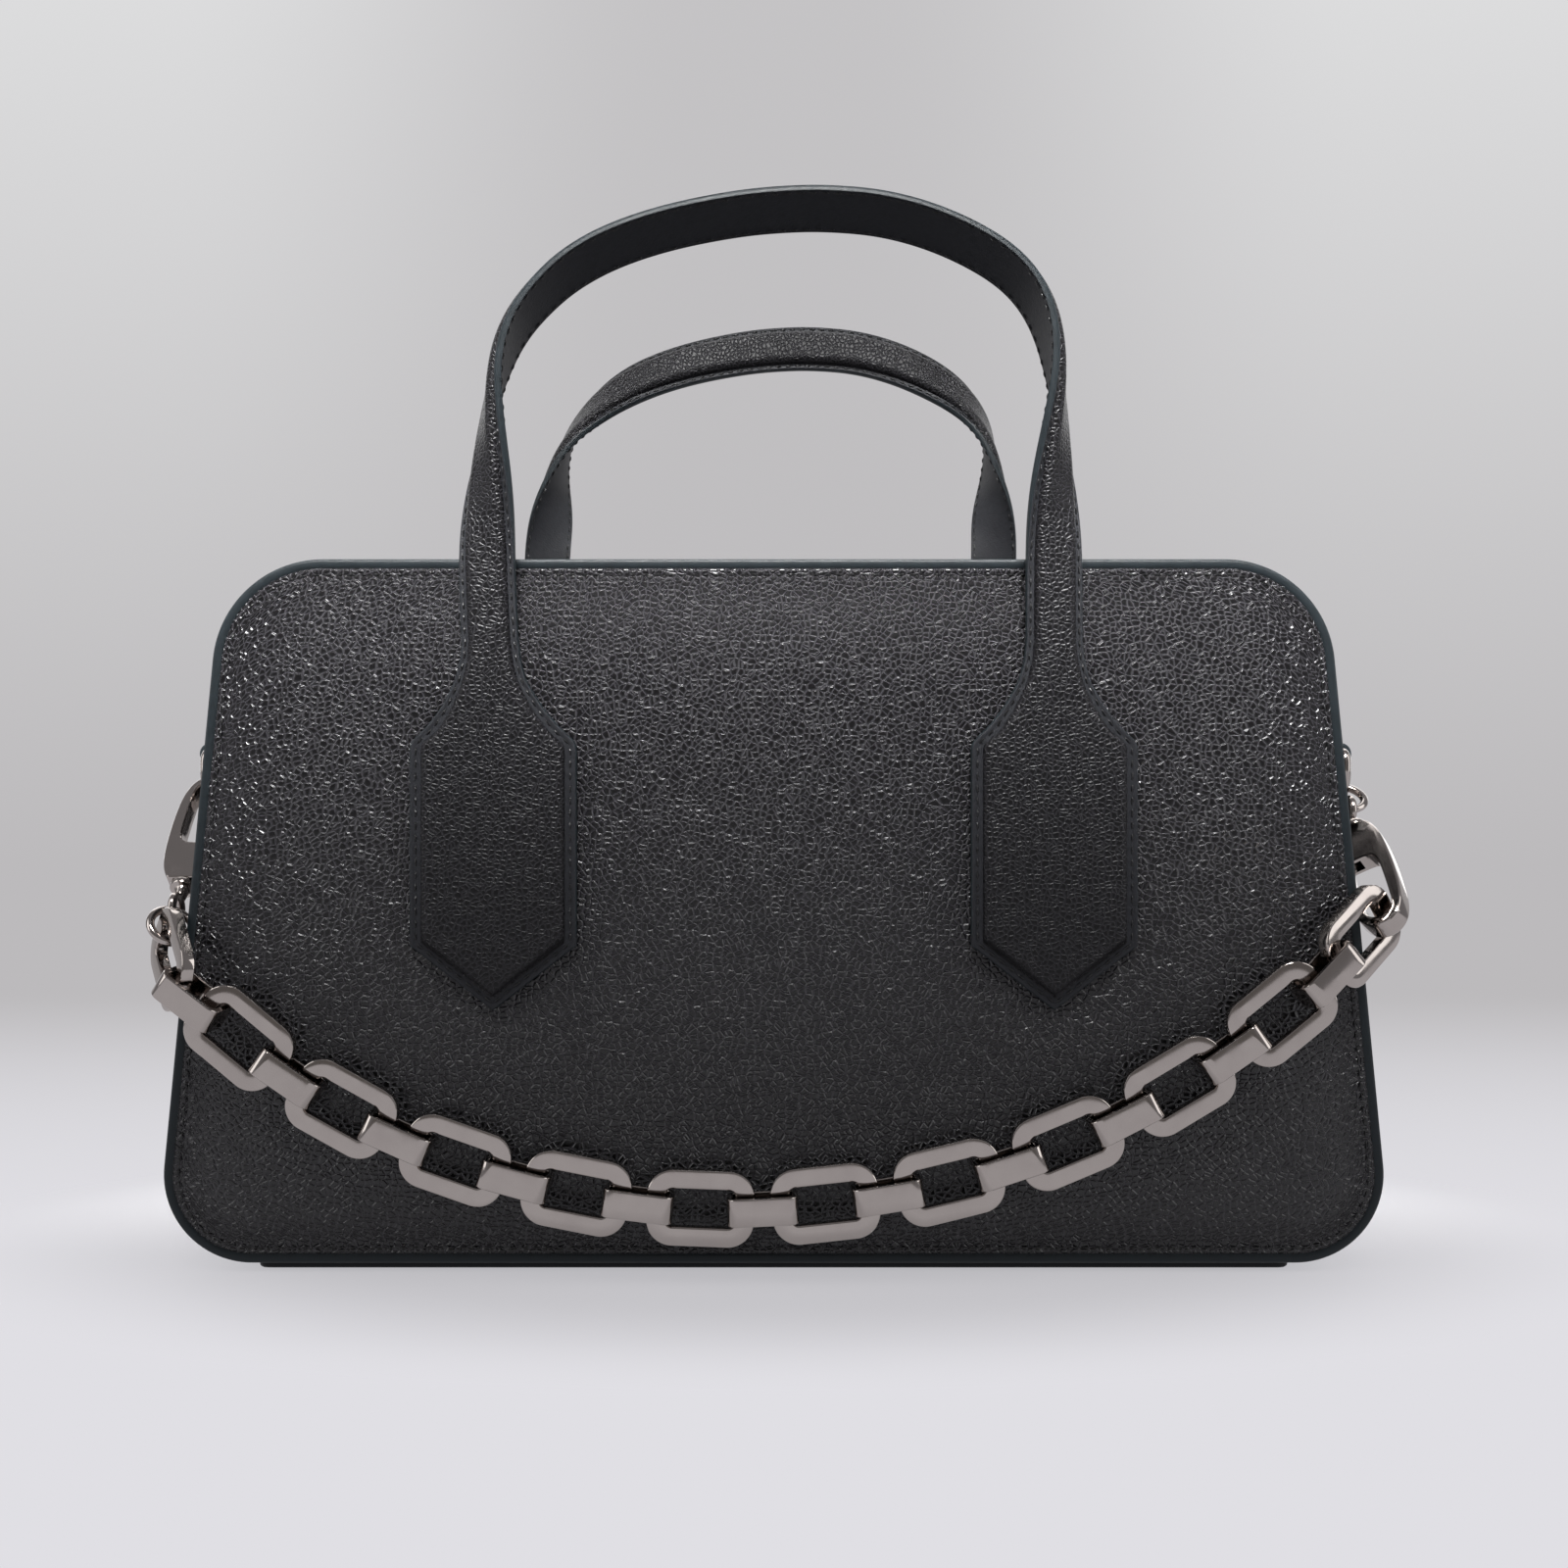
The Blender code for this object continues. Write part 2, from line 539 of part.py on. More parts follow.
def make_slider():
    """The slider: a top plate with turned-down sides, a thin bridge and an under plate."""
    length = SLIDER_LENGTH / 2.0
    width = SLIDER_WIDTH / 2.0
    low = COIL_TOP + GAP
    under = TAPE_TOP - TAPE_THICKNESS - GAP
    bm = bmesh.new()
    lip = COIL_SEAM / 2.0 + COIL_WIDTH + GAP
    drop = TAPE_TOP + GAP
    profile = ((-width, SLIDER_TOP - SLIDER_PLATE * 0.5), (-width, drop), (-lip, drop), (-lip, low),
               (-BRIDGE_THICKNESS / 2.0, low), (-BRIDGE_THICKNESS / 2.0, under),
               (-width, under), (-width, under - SLIDER_PLATE), (width, under - SLIDER_PLATE),
               (width, under), (BRIDGE_THICKNESS / 2.0, under), (BRIDGE_THICKNESS / 2.0, low),
               (lip, low), (lip, drop), (width, drop), (width, SLIDER_TOP - SLIDER_PLATE * 0.5),
               (width - SLIDER_PLATE, SLIDER_TOP), (SLIDER_PLATE - width, SLIDER_TOP))
    shift = Matrix.Translation((SLIDER_X, 0.0, SLIDER_TOP))
    rings = [[bm.verts.new((x, y, z - SLIDER_TOP)) for y, z in profile]
             for x in (-length, length)]
    rings_to_faces(bm, rings, False)
    slider = finish(bm, "zip_slider", METAL, matrix=shift)
    bm = bmesh.new()
    top = BAIL_HEIGHT - BAIL_WIRE
    path = ((-BAIL_HALF_SPAN, -SLIDER_PLATE * 0.5), (-BAIL_HALF_SPAN, top * 0.7),
            (-BAIL_HALF_SPAN * 0.6, top), (BAIL_HALF_SPAN * 0.6, top),
            (BAIL_HALF_SPAN, top * 0.7), (BAIL_HALF_SPAN, -SLIDER_PLATE * 0.5))
    stations = []
    for i, (x, z) in enumerate(path):
        back = Vector(path[max(i - 1, 0)])
        ahead = Vector(path[min(i + 1, len(path) - 1)])
        along = (ahead - back).normalized()
        stations.append((Vector((x, 0.0, z)), Vector((0.0, 1.0, 0.0)),
                         Vector((-along.y, 0.0, along.x))))
    sweep(bm, stations, round_section(BAIL_WIRE, WIRE_SEGMENTS), False)
    bail = finish(bm, "bail_tool", METAL, matrix=shift)
    apply_cuts(slider, [bail], "UNION")
    pull_place = Vector((SLIDER_X, 0.0, PULL_AXIS_Z))
    pull_parent = empty("zip_pull_axis", pull_place)
    bm = bmesh.new()
    loop = rounded_loop(PULL_RING_LENGTH / 2.0, PULL_HALF_WIDTH, PULL_WIRE * 2.0, 2)
    stations = []
    for point, normal in loop:
        place = Vector((point.x + PULL_RING_LENGTH / 2.0, point.y, 0.0))
        stations.append((place, Vector((normal.x, normal.y, 0.0)), Vector((0.0, 0.0, 1.0))))
    sweep(bm, stations, round_section(PULL_WIRE, WIRE_SEGMENTS), True)
    finish(bm, "zip_pull_ring", METAL, matrix=Matrix.Translation(pull_place), parent=pull_parent)
    make_pull_tab(pull_place, pull_parent)


def make_pull_tab(place, parent):
    """The leather pull: a strap folded through the ring's far end."""
    bar = PULL_RING_LENGTH
    inner = PULL_WIRE + GAP * 1.5
    outer = inner + PULL_TAB_THICKNESS / 2.0
    arc = [math.radians(a) for a in (90.0, 126.0, 162.0, 198.0, 234.0, 270.0)]
    end = PULL_TAB_LENGTH
    outline = [(bar + end, outer)]
    outline += [(bar + outer * math.cos(a), outer * math.sin(a)) for a in arc]
    outline += [(bar + end, -outer), (bar + end, -GAP / 2.0)]
    outline += [(bar + inner * 1.6, -GAP / 2.0)]
    outline += [(bar + inner * math.cos(a), inner * math.sin(a)) for a in arc[::-1]]
    outline += [(bar + inner * 1.6, GAP / 2.0), (bar + end, GAP / 2.0)]
    bm = bmesh.new()
    rings = []
    for y in (PULL_WIRE + GAP - PULL_HALF_WIDTH, PULL_HALF_WIDTH - PULL_WIRE - GAP):
        rings.append([bm.verts.new((x, y, z)) for x, z in outline])
    rings_to_faces(bm, rings, False)
    finish(bm, "zip_pull_tab", LEATHER, matrix=Matrix.Translation(place), parent=parent)


PANEL_FACE = GUSSET_HALF_DEPTH + GAP + PANEL_THICKNESS + PANEL_PUFF
TAB_BACK = PANEL_FACE + GAP
STRAP_MIDDLE = TAB_BACK + STRAP_THICKNESS / 2.0


def make_tab(name, x_middle, side):
    """A sewn handle tab: a flat edge all round, a raised field and a neck."""
    neck_top = HINGE_Z - STRAP_THICKNESS / 2.0 - GAP
    half = [(NECK_HALF_WIDTH, neck_top)]
    for across, up in NECK_CURVE_SHARES[::-1]:
        half.append((NECK_HALF_WIDTH + (TAB_HALF_WIDTH - NECK_HALF_WIDTH) * across,
                     TAB_SHOULDER_Z + (neck_top - TAB_SHOULDER_Z) * up))
    half += [(TAB_HALF_WIDTH, TAB_SHOULDER_Z), (TAB_HALF_WIDTH, TAB_LOW_Z)]
    outline = [(-x, z) for x, z in half] + [(0.0, TAB_TIP_Z)] + half[::-1]
    bm = bmesh.new()
    rings = []
    full = TAB_FLANGE + TAB_RAISE
    levels = ((0.0, 0.0), (0.0, TAB_FLANGE - TAB_BEVEL), (TAB_BEVEL, TAB_FLANGE),
              (TAB_FLANGE_WIDTH, TAB_FLANGE),
              (TAB_FLANGE_WIDTH + TAB_ROUND_WIDTH * 0.3, TAB_FLANGE + TAB_RAISE * 0.6),
              (TAB_FLANGE_WIDTH + TAB_ROUND_WIDTH, full))
    for distance, out in levels:
        loop = inset(outline, distance)
        ring = []
        for point in loop:
            z = min(point[1], neck_top)
            ring.append(bm.verts.new((x_middle + point[0], side * (TAB_BACK + out), z)))
        rings.append(ring)
    rings_to_faces(bm, rings, False)
    return finish(bm, name, LEATHER)


def strap_section():
    """Section of a strap: flat back, flat edges, a raised middle; across and out."""
    mid = STRAP_THICKNESS / 2.0
    return ((-STRAP_HALF_WIDTH, -mid), (STRAP_HALF_WIDTH, -mid),
            (STRAP_HALF_WIDTH, STRAP_FLANGE - mid), (STRAP_RAISE_HALF_WIDTH, STRAP_FLANGE - mid),
            (STRAP_CROWN_HALF_WIDTH, mid), (-STRAP_CROWN_HALF_WIDTH, mid),
            (-STRAP_RAISE_HALF_WIDTH, STRAP_FLANGE - mid), (-STRAP_HALF_WIDTH, STRAP_FLANGE - mid))


def make_handle(name, side, twist):
    """A strap from tab to tab, turning about its own line as it rises; its feet are round."""
    rise = HANDLE_TOP_Z - HINGE_Z
    points = [Vector((TAB_X * x, 0.0, rise * z)) for x, z in HANDLE_PATH_SHARES]
    face = Vector((0.0, side, 0.0))
    stations = []
    last = len(points) - 1
    for i, point in enumerate(points):
        along = (points[min(i + 1, last)] - points[max(i - 1, 0)]).normalized()
        if i in (0, last):
            along = Vector((0.0, 0.0, 1.0 if i == 0 else -1.0))
        outward = Vector((-along.z, 0.0, along.x))
        angle = math.radians(between(twist, HANDLE_PATH_SHARES[i][1]))
        out = face * math.cos(angle) + outward * math.sin(angle)
        stations.append((point, along.cross(out), out, 1.0))
    round_radius = STRAP_THICKNESS / 2.0
    feet = []
    for down in (0.98, 0.87, 0.5):
        feet.append((down, math.sqrt(1.0 - down * down)))
    start = [(points[0] - Vector((0.0, 0.0, round_radius * d)), stations[0][1], stations[0][2], s)
             for d, s in feet]
    stop = [(points[-1] - Vector((0.0, 0.0, round_radius * d)), stations[-1][1],
             stations[-1][2], s) for d, s in feet[::-1]]
    bm = bmesh.new()
    rings = []
    for point, across, out, scale in start + stations + stop:
        rings.append([bm.verts.new(point + across * a + out * b * scale)
                      for a, b in strap_section()])
    rings_to_faces(bm, rings, False)
    place = Matrix.Translation((0.0, side * STRAP_MIDDLE, HINGE_Z))
    return finish(bm, name, LEATHER, matrix=place)


def side_x(z):
    """Half width of the panels' outline at a height on the straight side."""
    share = (z - PANEL_LOW_Z) / (PANEL_TOP_Z - PANEL_LOW_Z)
    return LOWER_HALF_WIDTH + (UPPER_HALF_WIDTH - LOWER_HALF_WIDTH) * share


RING_BAR_Z = RING_CENTRE_Z + RING_LEG + RING_CORNER


def make_side_ring(name, x):
    """A D-ring that hangs in the plane of the bag's side: straight bar on top, round bow below."""
    half = RING_RADIUS
    path = [(half * math.sin(math.radians(a)), -half * math.cos(math.radians(a)))
            for a in range(-90, 91, 15)]
    path = [(y, z, math.atan2(z, y)) for y, z in path]
    top = RING_LEG + RING_CORNER
    for k in (0.0, 45.0, 90.0):
        a = math.radians(k)
        path.append((half - RING_CORNER + RING_CORNER * math.cos(a),
                     RING_LEG + RING_CORNER * math.sin(a), a))
    for k in (90.0, 135.0, 180.0):
        a = math.radians(k)
        path.append((RING_CORNER - half + RING_CORNER * math.cos(a),
                     RING_LEG + RING_CORNER * math.sin(a), a))
    stations = []
    for y, z, angle in path:
        stations.append((Vector((0.0, y, z)), Vector((0.0, math.cos(angle), math.sin(angle))),
                         Vector((1.0, 0.0, 0.0))))
    bm = bmesh.new()
    sweep(bm, stations, round_section(RING_WIRE, WIRE_SEGMENTS + 2), True)
    return finish(bm, name, METAL, matrix=Matrix.Translation((x, 0.0, RING_CENTRE_Z)))


def make_side_loop(name, x):
    """A strip folded round the ring's bar, its two ends sewn one on the other to the gusset."""
    bar_z = RING_BAR_Z
    tilt = math.atan2(LOWER_HALF_WIDTH - UPPER_HALF_WIDTH, PANEL_TOP_Z - PANEL_LOW_Z)
    up = Vector((-math.sin(tilt), math.cos(tilt)))
    out = Vector((math.cos(tilt), math.sin(tilt)))
    bar = Vector((abs(x), bar_z))
    web = Vector((side_x(bar_z), bar_z)) + out * (web_height(0.0, SIDE_BULGE_SHARE) + GAP)
    inner = RING_WIRE + GAP * 1.3
    outer = inner + LOOP_THICKNESS
    inside = web + up * LOOP_SEWN_START
    inside_end = web + up * (LOOP_SEWN_START + LOOP_SEWN_LENGTH)
    fold = out * LOOP_THICKNESS
    slit = out * GAP
    lean = (inside - bar).normalized()
    across = Vector((lean.y, -lean.x))
    arc = [math.radians(a) for a in (20.0, 52.0, 84.0, 116.0, 148.0, 180.0, 212.0, 244.0, 276.0,
                                     308.0, 340.0)]
    round_outer = [bar + (lean * math.cos(a) + across * math.sin(a)) * outer for a in arc]
    round_inner = [bar + (lean * math.cos(a) + across * math.sin(a)) * inner for a in arc]
    outline = [inside_end + fold * 2.0 + slit, inside + fold * 2.0 + slit] + round_outer
    outline += [inside, inside_end, inside_end + fold, inside + fold]
    outline += round_inner[::-1] + [inside + fold + slit, inside_end + fold + slit]
    bm = bmesh.new()
    rings = []
    for y in (-LOOP_HALF_WIDTH, LOOP_HALF_WIDTH):
        rings.append([bm.verts.new((math.copysign(p.x, x), y, p.y)) for p in outline])
    rings_to_faces(bm, rings, False)
    return finish(bm, name, LEATHER)


def turn(rise, swing, roll):
    """Rotation from a link's own axes: rise in the picture plane, swing, then roll."""
    return (Matrix.Rotation(math.radians(-rise), 3, "Y")
            @ Matrix.Rotation(math.radians(swing), 3, "Z")
            @ Matrix.Rotation(math.radians(roll), 3, "X"))


BAR_CENTRE = OVAL_LENGTH / 2.0 - OVAL_BAR / 2.0


def bar_to_band(oval, band):
    """Distance from the middle of an oval's end bar to the middle of the band it hangs in."""
    along = band.col[0]
    reach = (OVAL_BAR / 2.0 * abs(along.dot(oval.col[0]))
             + OVAL_THICKNESS / 2.0 * abs(along.dot(oval.col[1]))
             + BAND_HEIGHT / 2.0 * abs(along.dot(oval.col[2])))
    return BAND_LENGTH / 2.0 - BAND_WALL - LINK_GAP - reach


def next_place(place, here, there, here_is_oval, direction):
    """Middle of the next link, to the right (1) or to the left (-1)."""
    if here_is_oval:
        bar = place + here.col[0] * (BAR_CENTRE * direction)
        return bar + there.col[0] * (bar_to_band(here, there) * direction)
    bar = place + here.col[0] * (bar_to_band(there, here) * direction)
    return bar + there.col[0] * (BAR_CENTRE * direction)


def chain_frames():
    """Place and rotation of every link, from oval 0 on the left to oval 11 on the right."""
    turns = [turn(rise, 0.0, 0.0) for rise in CHAIN_RISE]
    low = (LOW_OVAL - 1) * 2
    y = -(PANEL_FACE + CHAIN_STANDOFF)
    places = {low: Vector((CHAIN_LOW_X, y, CHAIN_LOW_Z))}
    for i in range(low + 1, len(turns)):
        places[i] = next_place(places[i - 1], turns[i - 1], turns[i], (i - 1) % 2 == 0, 1.0)
    for i in range(low - 1, -1, -1):
        places[i] = next_place(places[i + 1], turns[i + 1], turns[i], (i + 1) % 2 == 0, -1.0)
    frames = [(places[i], turns[i]) for i in range(len(turns))]
    band_left = turns[0] @ turn(*LEFT_BAND_TURN)
    band_left_at = next_place(places[0], turns[0], band_left, True, -1.0)
    oval_left = band_left @ turn(*LEFT_OVAL_TURN)
    oval_left_at = next_place(band_left_at, band_left, oval_left, False, -1.0)
    last = len(turns) - 1
    band_right = turns[last] @ turn(*RIGHT_BAND_TURN)
    band_right_at = next_place(places[last], turns[last], band_right, True, 1.0)
    oval_right = band_right @ turn(*RIGHT_OVAL_TURN)
    oval_right_at = next_place(band_right_at, band_right, oval_right, False, 1.0)
    frames = [(oval_left_at, oval_left), (band_left_at, band_left)] + frames
    frames += [(band_right_at, band_right), (oval_right_at, oval_right)]
    return frames


def make_oval(name, frame, parent):
    """An oval flat link."""
    half_bar = OVAL_BAR / 2.0
    loop = rounded_loop(OVAL_LENGTH / 2.0 - half_bar, OVAL_HEIGHT / 2.0 - half_bar,
                        OVAL_CORNER - half_bar, LINK_CORNER_STEPS)
    stations = [(Vector((p.x, 0.0, p.y)), Vector((n.x, 0.0, n.y)), Vector((0.0, 1.0, 0.0)))
                for p, n in loop]
    bm = bmesh.new()
    sweep(bm, stations, bevelled_section(half_bar, OVAL_THICKNESS / 2.0, OVAL_EDGE), True)
    place = Matrix.Translation(frame[0]) @ frame[1].to_4x4()
    return finish(bm, name, METAL, matrix=place, parent=parent)


def make_band(name, frame, parent):
    """A band link: a strip bent into a ring that stands across the oval links."""
    half_wall = BAND_WALL / 2.0
    loop = rounded_loop(BAND_LENGTH / 2.0 - half_wall, BAND_DEPTH / 2.0 - half_wall,
                        BAND_CORNER - half_wall, LINK_CORNER_STEPS)
    stations = [(Vector((p.x, p.y, 0.0)), Vector((n.x, n.y, 0.0)), Vector((0.0, 0.0, 1.0)))
                for p, n in loop]
    bm = bmesh.new()
    sweep(bm, stations, bevelled_section(half_wall, BAND_HEIGHT / 2.0, BAND_EDGE), True)
    place = Matrix.Translation(frame[0]) @ frame[1].to_4x4()
    return finish(bm, name, METAL, matrix=place, parent=parent)


def turned(bm, profile, segments):
    """Turn a profile of (radius, along) about the clasp's long axis."""
    rings = []
    for radius, along in profile:
        ring = []
        for k in range(segments):
            a = 2.0 * math.pi * k / segments
            ring.append(bm.verts.new((radius * math.cos(a), radius * math.sin(a), along)))
        rings.append(ring)
    rings_to_faces(bm, rings, False)


def clasp_points(shares):
    """Outline points of the clasp in metres."""
    return [(CLASP_UNIT * u, CLASP_UNIT * v) for u, v in shares]


def make_clasp(tag, frame, parent, eye_turn):
    """A trigger clasp: body with its hook, sprung gate, gate pin and swivel."""
    body_bm = bmesh.new()
    plate(body_bm, clasp_points(CLASP_OUTLINE_SHARES), CLASP_THICKNESS / 2.0, CLASP_EDGE)
    body = finish(body_bm, "clasp_body_" + tag, METAL, matrix=frame, parent=parent)
    cutters = []
    bm = bmesh.new()
    box(bm, (CLASP_UNIT * SLOT_U_SHARES[0], -SLOT_WIDTH / 2.0, CLASP_UNIT * SLOT_V_SHARES[0]),
        (CLASP_UNIT * SLOT_U_SHARES[1], SLOT_WIDTH / 2.0, CLASP_UNIT * SLOT_V_SHARES[1]))
    cutters.append(finish(bm, "slot_tool", METAL, matrix=frame, parent=parent))
    pivot = Vector((CLASP_UNIT * GATE_PIVOT_SHARES[0], 0.0, CLASP_UNIT * GATE_PIVOT_SHARES[1]))
    lay = Matrix.Translation(pivot) @ Matrix.Rotation(math.radians(90.0), 4, "X")
    bm = bmesh.new()
    turned(bm, ((PIN_HOLE_RADIUS, -CLASP_THICKNESS), (PIN_HOLE_RADIUS, CLASP_THICKNESS)),
           TURNED_SEGMENTS)
    cutters.append(finish(bm, "pin_tool", METAL, matrix=frame @ lay, parent=parent))
    bm = bmesh.new()
    cavity_low = CLASP_UNIT * CAVITY_V_SHARES[0]
    cavity_high = CLASP_UNIT * CAVITY_V_SHARES[1]
    turned(bm, ((HEAD_CAVITY_RADIUS, cavity_low), (HEAD_CAVITY_RADIUS, cavity_high),
                (STEM_BORE_RADIUS, cavity_high), (STEM_BORE_RADIUS, CLASP_UNIT)),
           TURNED_SEGMENTS)
    cutters.append(finish(bm, "bore_tool", METAL, matrix=frame, parent=parent))
    apply_cuts(body, cutters)

    at_pivot = frame @ Matrix.Translation(pivot)
    gate_parent = empty("gate_axis_" + tag, at_pivot.to_translation())
    gate_parent.parent = parent
    gate_parent.matrix_parent_inverse = parent.matrix_world.inverted()
    bpy.context.view_layer.update()
    outline = [(u - pivot.x, v - pivot.z) for u, v in clasp_points(GATE_OUTLINE_SHARES)]
    bm = bmesh.new()
    plate(bm, outline, GATE_THICKNESS / 2.0, GATE_EDGE)
    gate = finish(bm, "gate_" + tag, METAL, matrix=at_pivot, parent=gate_parent)
    bm = bmesh.new()
    turned(bm, ((PIN_HOLE_RADIUS, -CLASP_THICKNESS), (PIN_HOLE_RADIUS, CLASP_THICKNESS)),
           TURNED_SEGMENTS)
    hole = finish(bm, "gate_tool", METAL, matrix=frame @ lay, parent=parent)
    apply_cuts(gate, [hole])
    bm = bmesh.new()
    half_pin = CLASP_THICKNESS / 2.0
    turned(bm, ((PIN_RADIUS, -half_pin), (PIN_RADIUS, half_pin)), TURNED_SEGMENTS)
    finish(bm, "gate_pin_" + tag, METAL, matrix=frame @ lay, parent=parent)
    make_swivel(tag, frame @ Matrix.Rotation(eye_turn, 4, "Z"), parent)


def make_swivel(tag, frame, parent):
    """The swivel: a head held in the body, a stem, a collar and an eye."""
    head_low = CLASP_UNIT * HEAD_V_SHARES[0]
    head_high = CLASP_UNIT * HEAD_V_SHARES[1]
    collar = CLASP_UNIT * BASE_V_SHARE + GAP
    eye = CLASP_UNIT * EYE_V_SHARE
    bm = bmesh.new()
    neck_end = eye - EYE_RADIUS + EYE_WIRE
    turned(bm, ((HEAD_RADIUS, head_low), (HEAD_RADIUS, head_high), (STEM_RADIUS, head_high),
                (STEM_RADIUS, collar), (COLLAR_RADIUS - GAP, collar),
                (COLLAR_RADIUS, collar + COLLAR_LENGTH * 0.2),
                (COLLAR_RADIUS, collar + COLLAR_LENGTH * 0.8),
                (NECK_RADIUS, collar + COLLAR_LENGTH),
                (NECK_RADIUS, collar + COLLAR_LENGTH + NECK_LENGTH * 0.5),
                (STEM_RADIUS, neck_end)), TURNED_SEGMENTS)
    stem = finish(bm, "swivel_" + tag, METAL, matrix=frame, parent=parent)
    bm = bmesh.new()
    stations = []
    for k in range(16):
        a = 2.0 * math.pi * (k + 0.5) / 16.0
        out = Vector((math.cos(a), 0.0, math.sin(a)))
        place = out * EYE_RADIUS + Vector((0.0, 0.0, eye))
        stations.append((place, out, Vector((0.0, 1.0, 0.0))))
    sweep(bm, stations, round_section(EYE_WIRE, WIRE_SEGMENTS + 2), True)
    ring = finish(bm, "eye_tool", METAL, matrix=frame, parent=parent)
    apply_cuts(stem, [ring], "UNION")


def ring_contact(x, angle):
    """Where a clasp sits on a side ring's bow, and the wire's direction there."""
    a = math.radians(angle)
    place = Vector((x, -RING_RADIUS * math.sin(a), RING_CENTRE_Z - RING_RADIUS * math.cos(a)))
    return place, Vector((0.0, -math.cos(a), math.sin(a)))


# how far along the clasp the wire ring's own wire sits, at the far side of the eye
EYE_REACH = CLASP_UNIT * EYE_V_SHARE + EYE_RADIUS - EYE_WIRE - GAP - WIRE_RING_WIRE


def make_wire_ring(name, start, end, flat, parent):
    """A round wire ring between two points that its wire passes through."""
    down = (end - start).normalized()
    flat = (flat - down * flat.dot(down)).normalized()
    normal = down.cross(flat)
    stations = []
    for k in range(RING_STATIONS):
        a = 2.0 * math.pi * k / RING_STATIONS
        out = down * math.cos(a) + flat * math.sin(a)
        stations.append((out * WIRE_RING_RADIUS, out, normal))
    bm = bmesh.new()
    sweep(bm, stations, round_section(WIRE_RING_WIRE, WIRE_SEGMENTS), True)
    place = Matrix.Translation((start + end) / 2.0)
    return finish(bm, name, METAL, matrix=place, parent=parent)


def frame_from(origin, along, across):
    """Clasp frame: Z along, Y as near as can be to the given direction."""
    w = (across - along * across.dot(along)).normalized()
    u = w.cross(along)
    rotation = Matrix((u, w, along)).transposed()
    return Matrix.Translation(origin) @ rotation.to_4x4()


def make_chain():
    """The chain, its clasps and the wire ring, all carried by one axis through both side rings."""
    parent = empty("chain_swing", (0.0, 0.0, RING_CENTRE_Z))
    frames = chain_frames()
    for i, frame in enumerate(frames):
        if i % 2 == 0:
            make_oval("oval_link_%02d" % (i // 2), frame, parent)
        else:
            make_band("band_link_%02d" % (i // 2), frame, parent)
    left_at, left_wire = ring_contact(LEFT_RING_X, LEFT_RING_ANGLE)
    first_at, first = frames[0]
    bar = first_at - first.col[0] * BAR_CENTRE
    hold = bar + first.col[0] * (OVAL_BAR / 2.0 + RING_SEAT_GAP + WIRE_RING_WIRE)
    along = (hold - left_at).normalized()
    make_clasp("left", frame_from(left_at, along, left_wire), parent, math.radians(90.0))
    make_wire_ring("wire_ring_left", left_at + along * EYE_REACH, hold, first.col[1], parent)

    right_at, right_wire = ring_contact(RIGHT_RING_X, RIGHT_RING_ANGLE)
    last_at, last = frames[-1]
    bar = last_at + last.col[0] * BAR_CENTRE
    along = (right_at - bar).normalized()
    across = Matrix.Rotation(math.radians(RIGHT_CLASP_ROLL), 3, along) @ last.col[2]
    guess = frame_from(bar, along, across).to_3x3()
    u_share, v_share = HOOKED_BAR_SHARES
    origin = bar - guess.col[0] * (CLASP_UNIT * u_share) - along * (CLASP_UNIT * v_share)
    right_frame = frame_from(origin, along, across)
    hold = right_at + along * (RING_WIRE + LINK_GAP + WIRE_RING_WIRE)
    flat = along.cross(right_wire)
    wire = right_frame.to_3x3().inverted() @ flat
    make_clasp("right", right_frame, parent, math.atan2(-wire.x, wire.y))
    make_wire_ring("wire_ring_right", origin + along * EYE_REACH, hold, flat, parent)


make_panel("front_panel", FRONT_SHARE)
make_panel("rear_panel", REAR_SHARE)
make_gusset()
make_top_strip("top_strip_front", FRONT_SHARE)
make_top_strip("top_strip_rear", REAR_SHARE)
make_base()
make_zip()
for which, tab_side in (("front", FRONT_SHARE), ("rear", REAR_SHARE)):
    make_tab("handle_tab_%s_left" % which, -TAB_X, tab_side)
    make_tab("handle_tab_%s_right" % which, TAB_X, tab_side)
make_handle("handle_front", FRONT_SHARE, FRONT_TWIST)
make_handle("handle_rear", REAR_SHARE, REAR_TWIST)
for which, ring_x in (("left", LEFT_RING_X), ("right", RIGHT_RING_X)):
    make_side_ring("side_ring_" + which, ring_x)
    make_side_loop("side_loop_" + which, ring_x)
make_chain()
bpy.context.view_layer.update()
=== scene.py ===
"""Dresses a structured leather handbag: grained calf, painted edges, stitching, zip and dark chain.

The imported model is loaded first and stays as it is. Leather, tape and thread are new surfaces that
stand for the plain solids; the metal links, rings and swivels are rebuilt on the solids' own axes.
Metres, +Z up; the bag's front faces -Y.
"""
import logging
import math
from dataclasses import dataclass
from enum import Enum
from typing import Any, Sequence

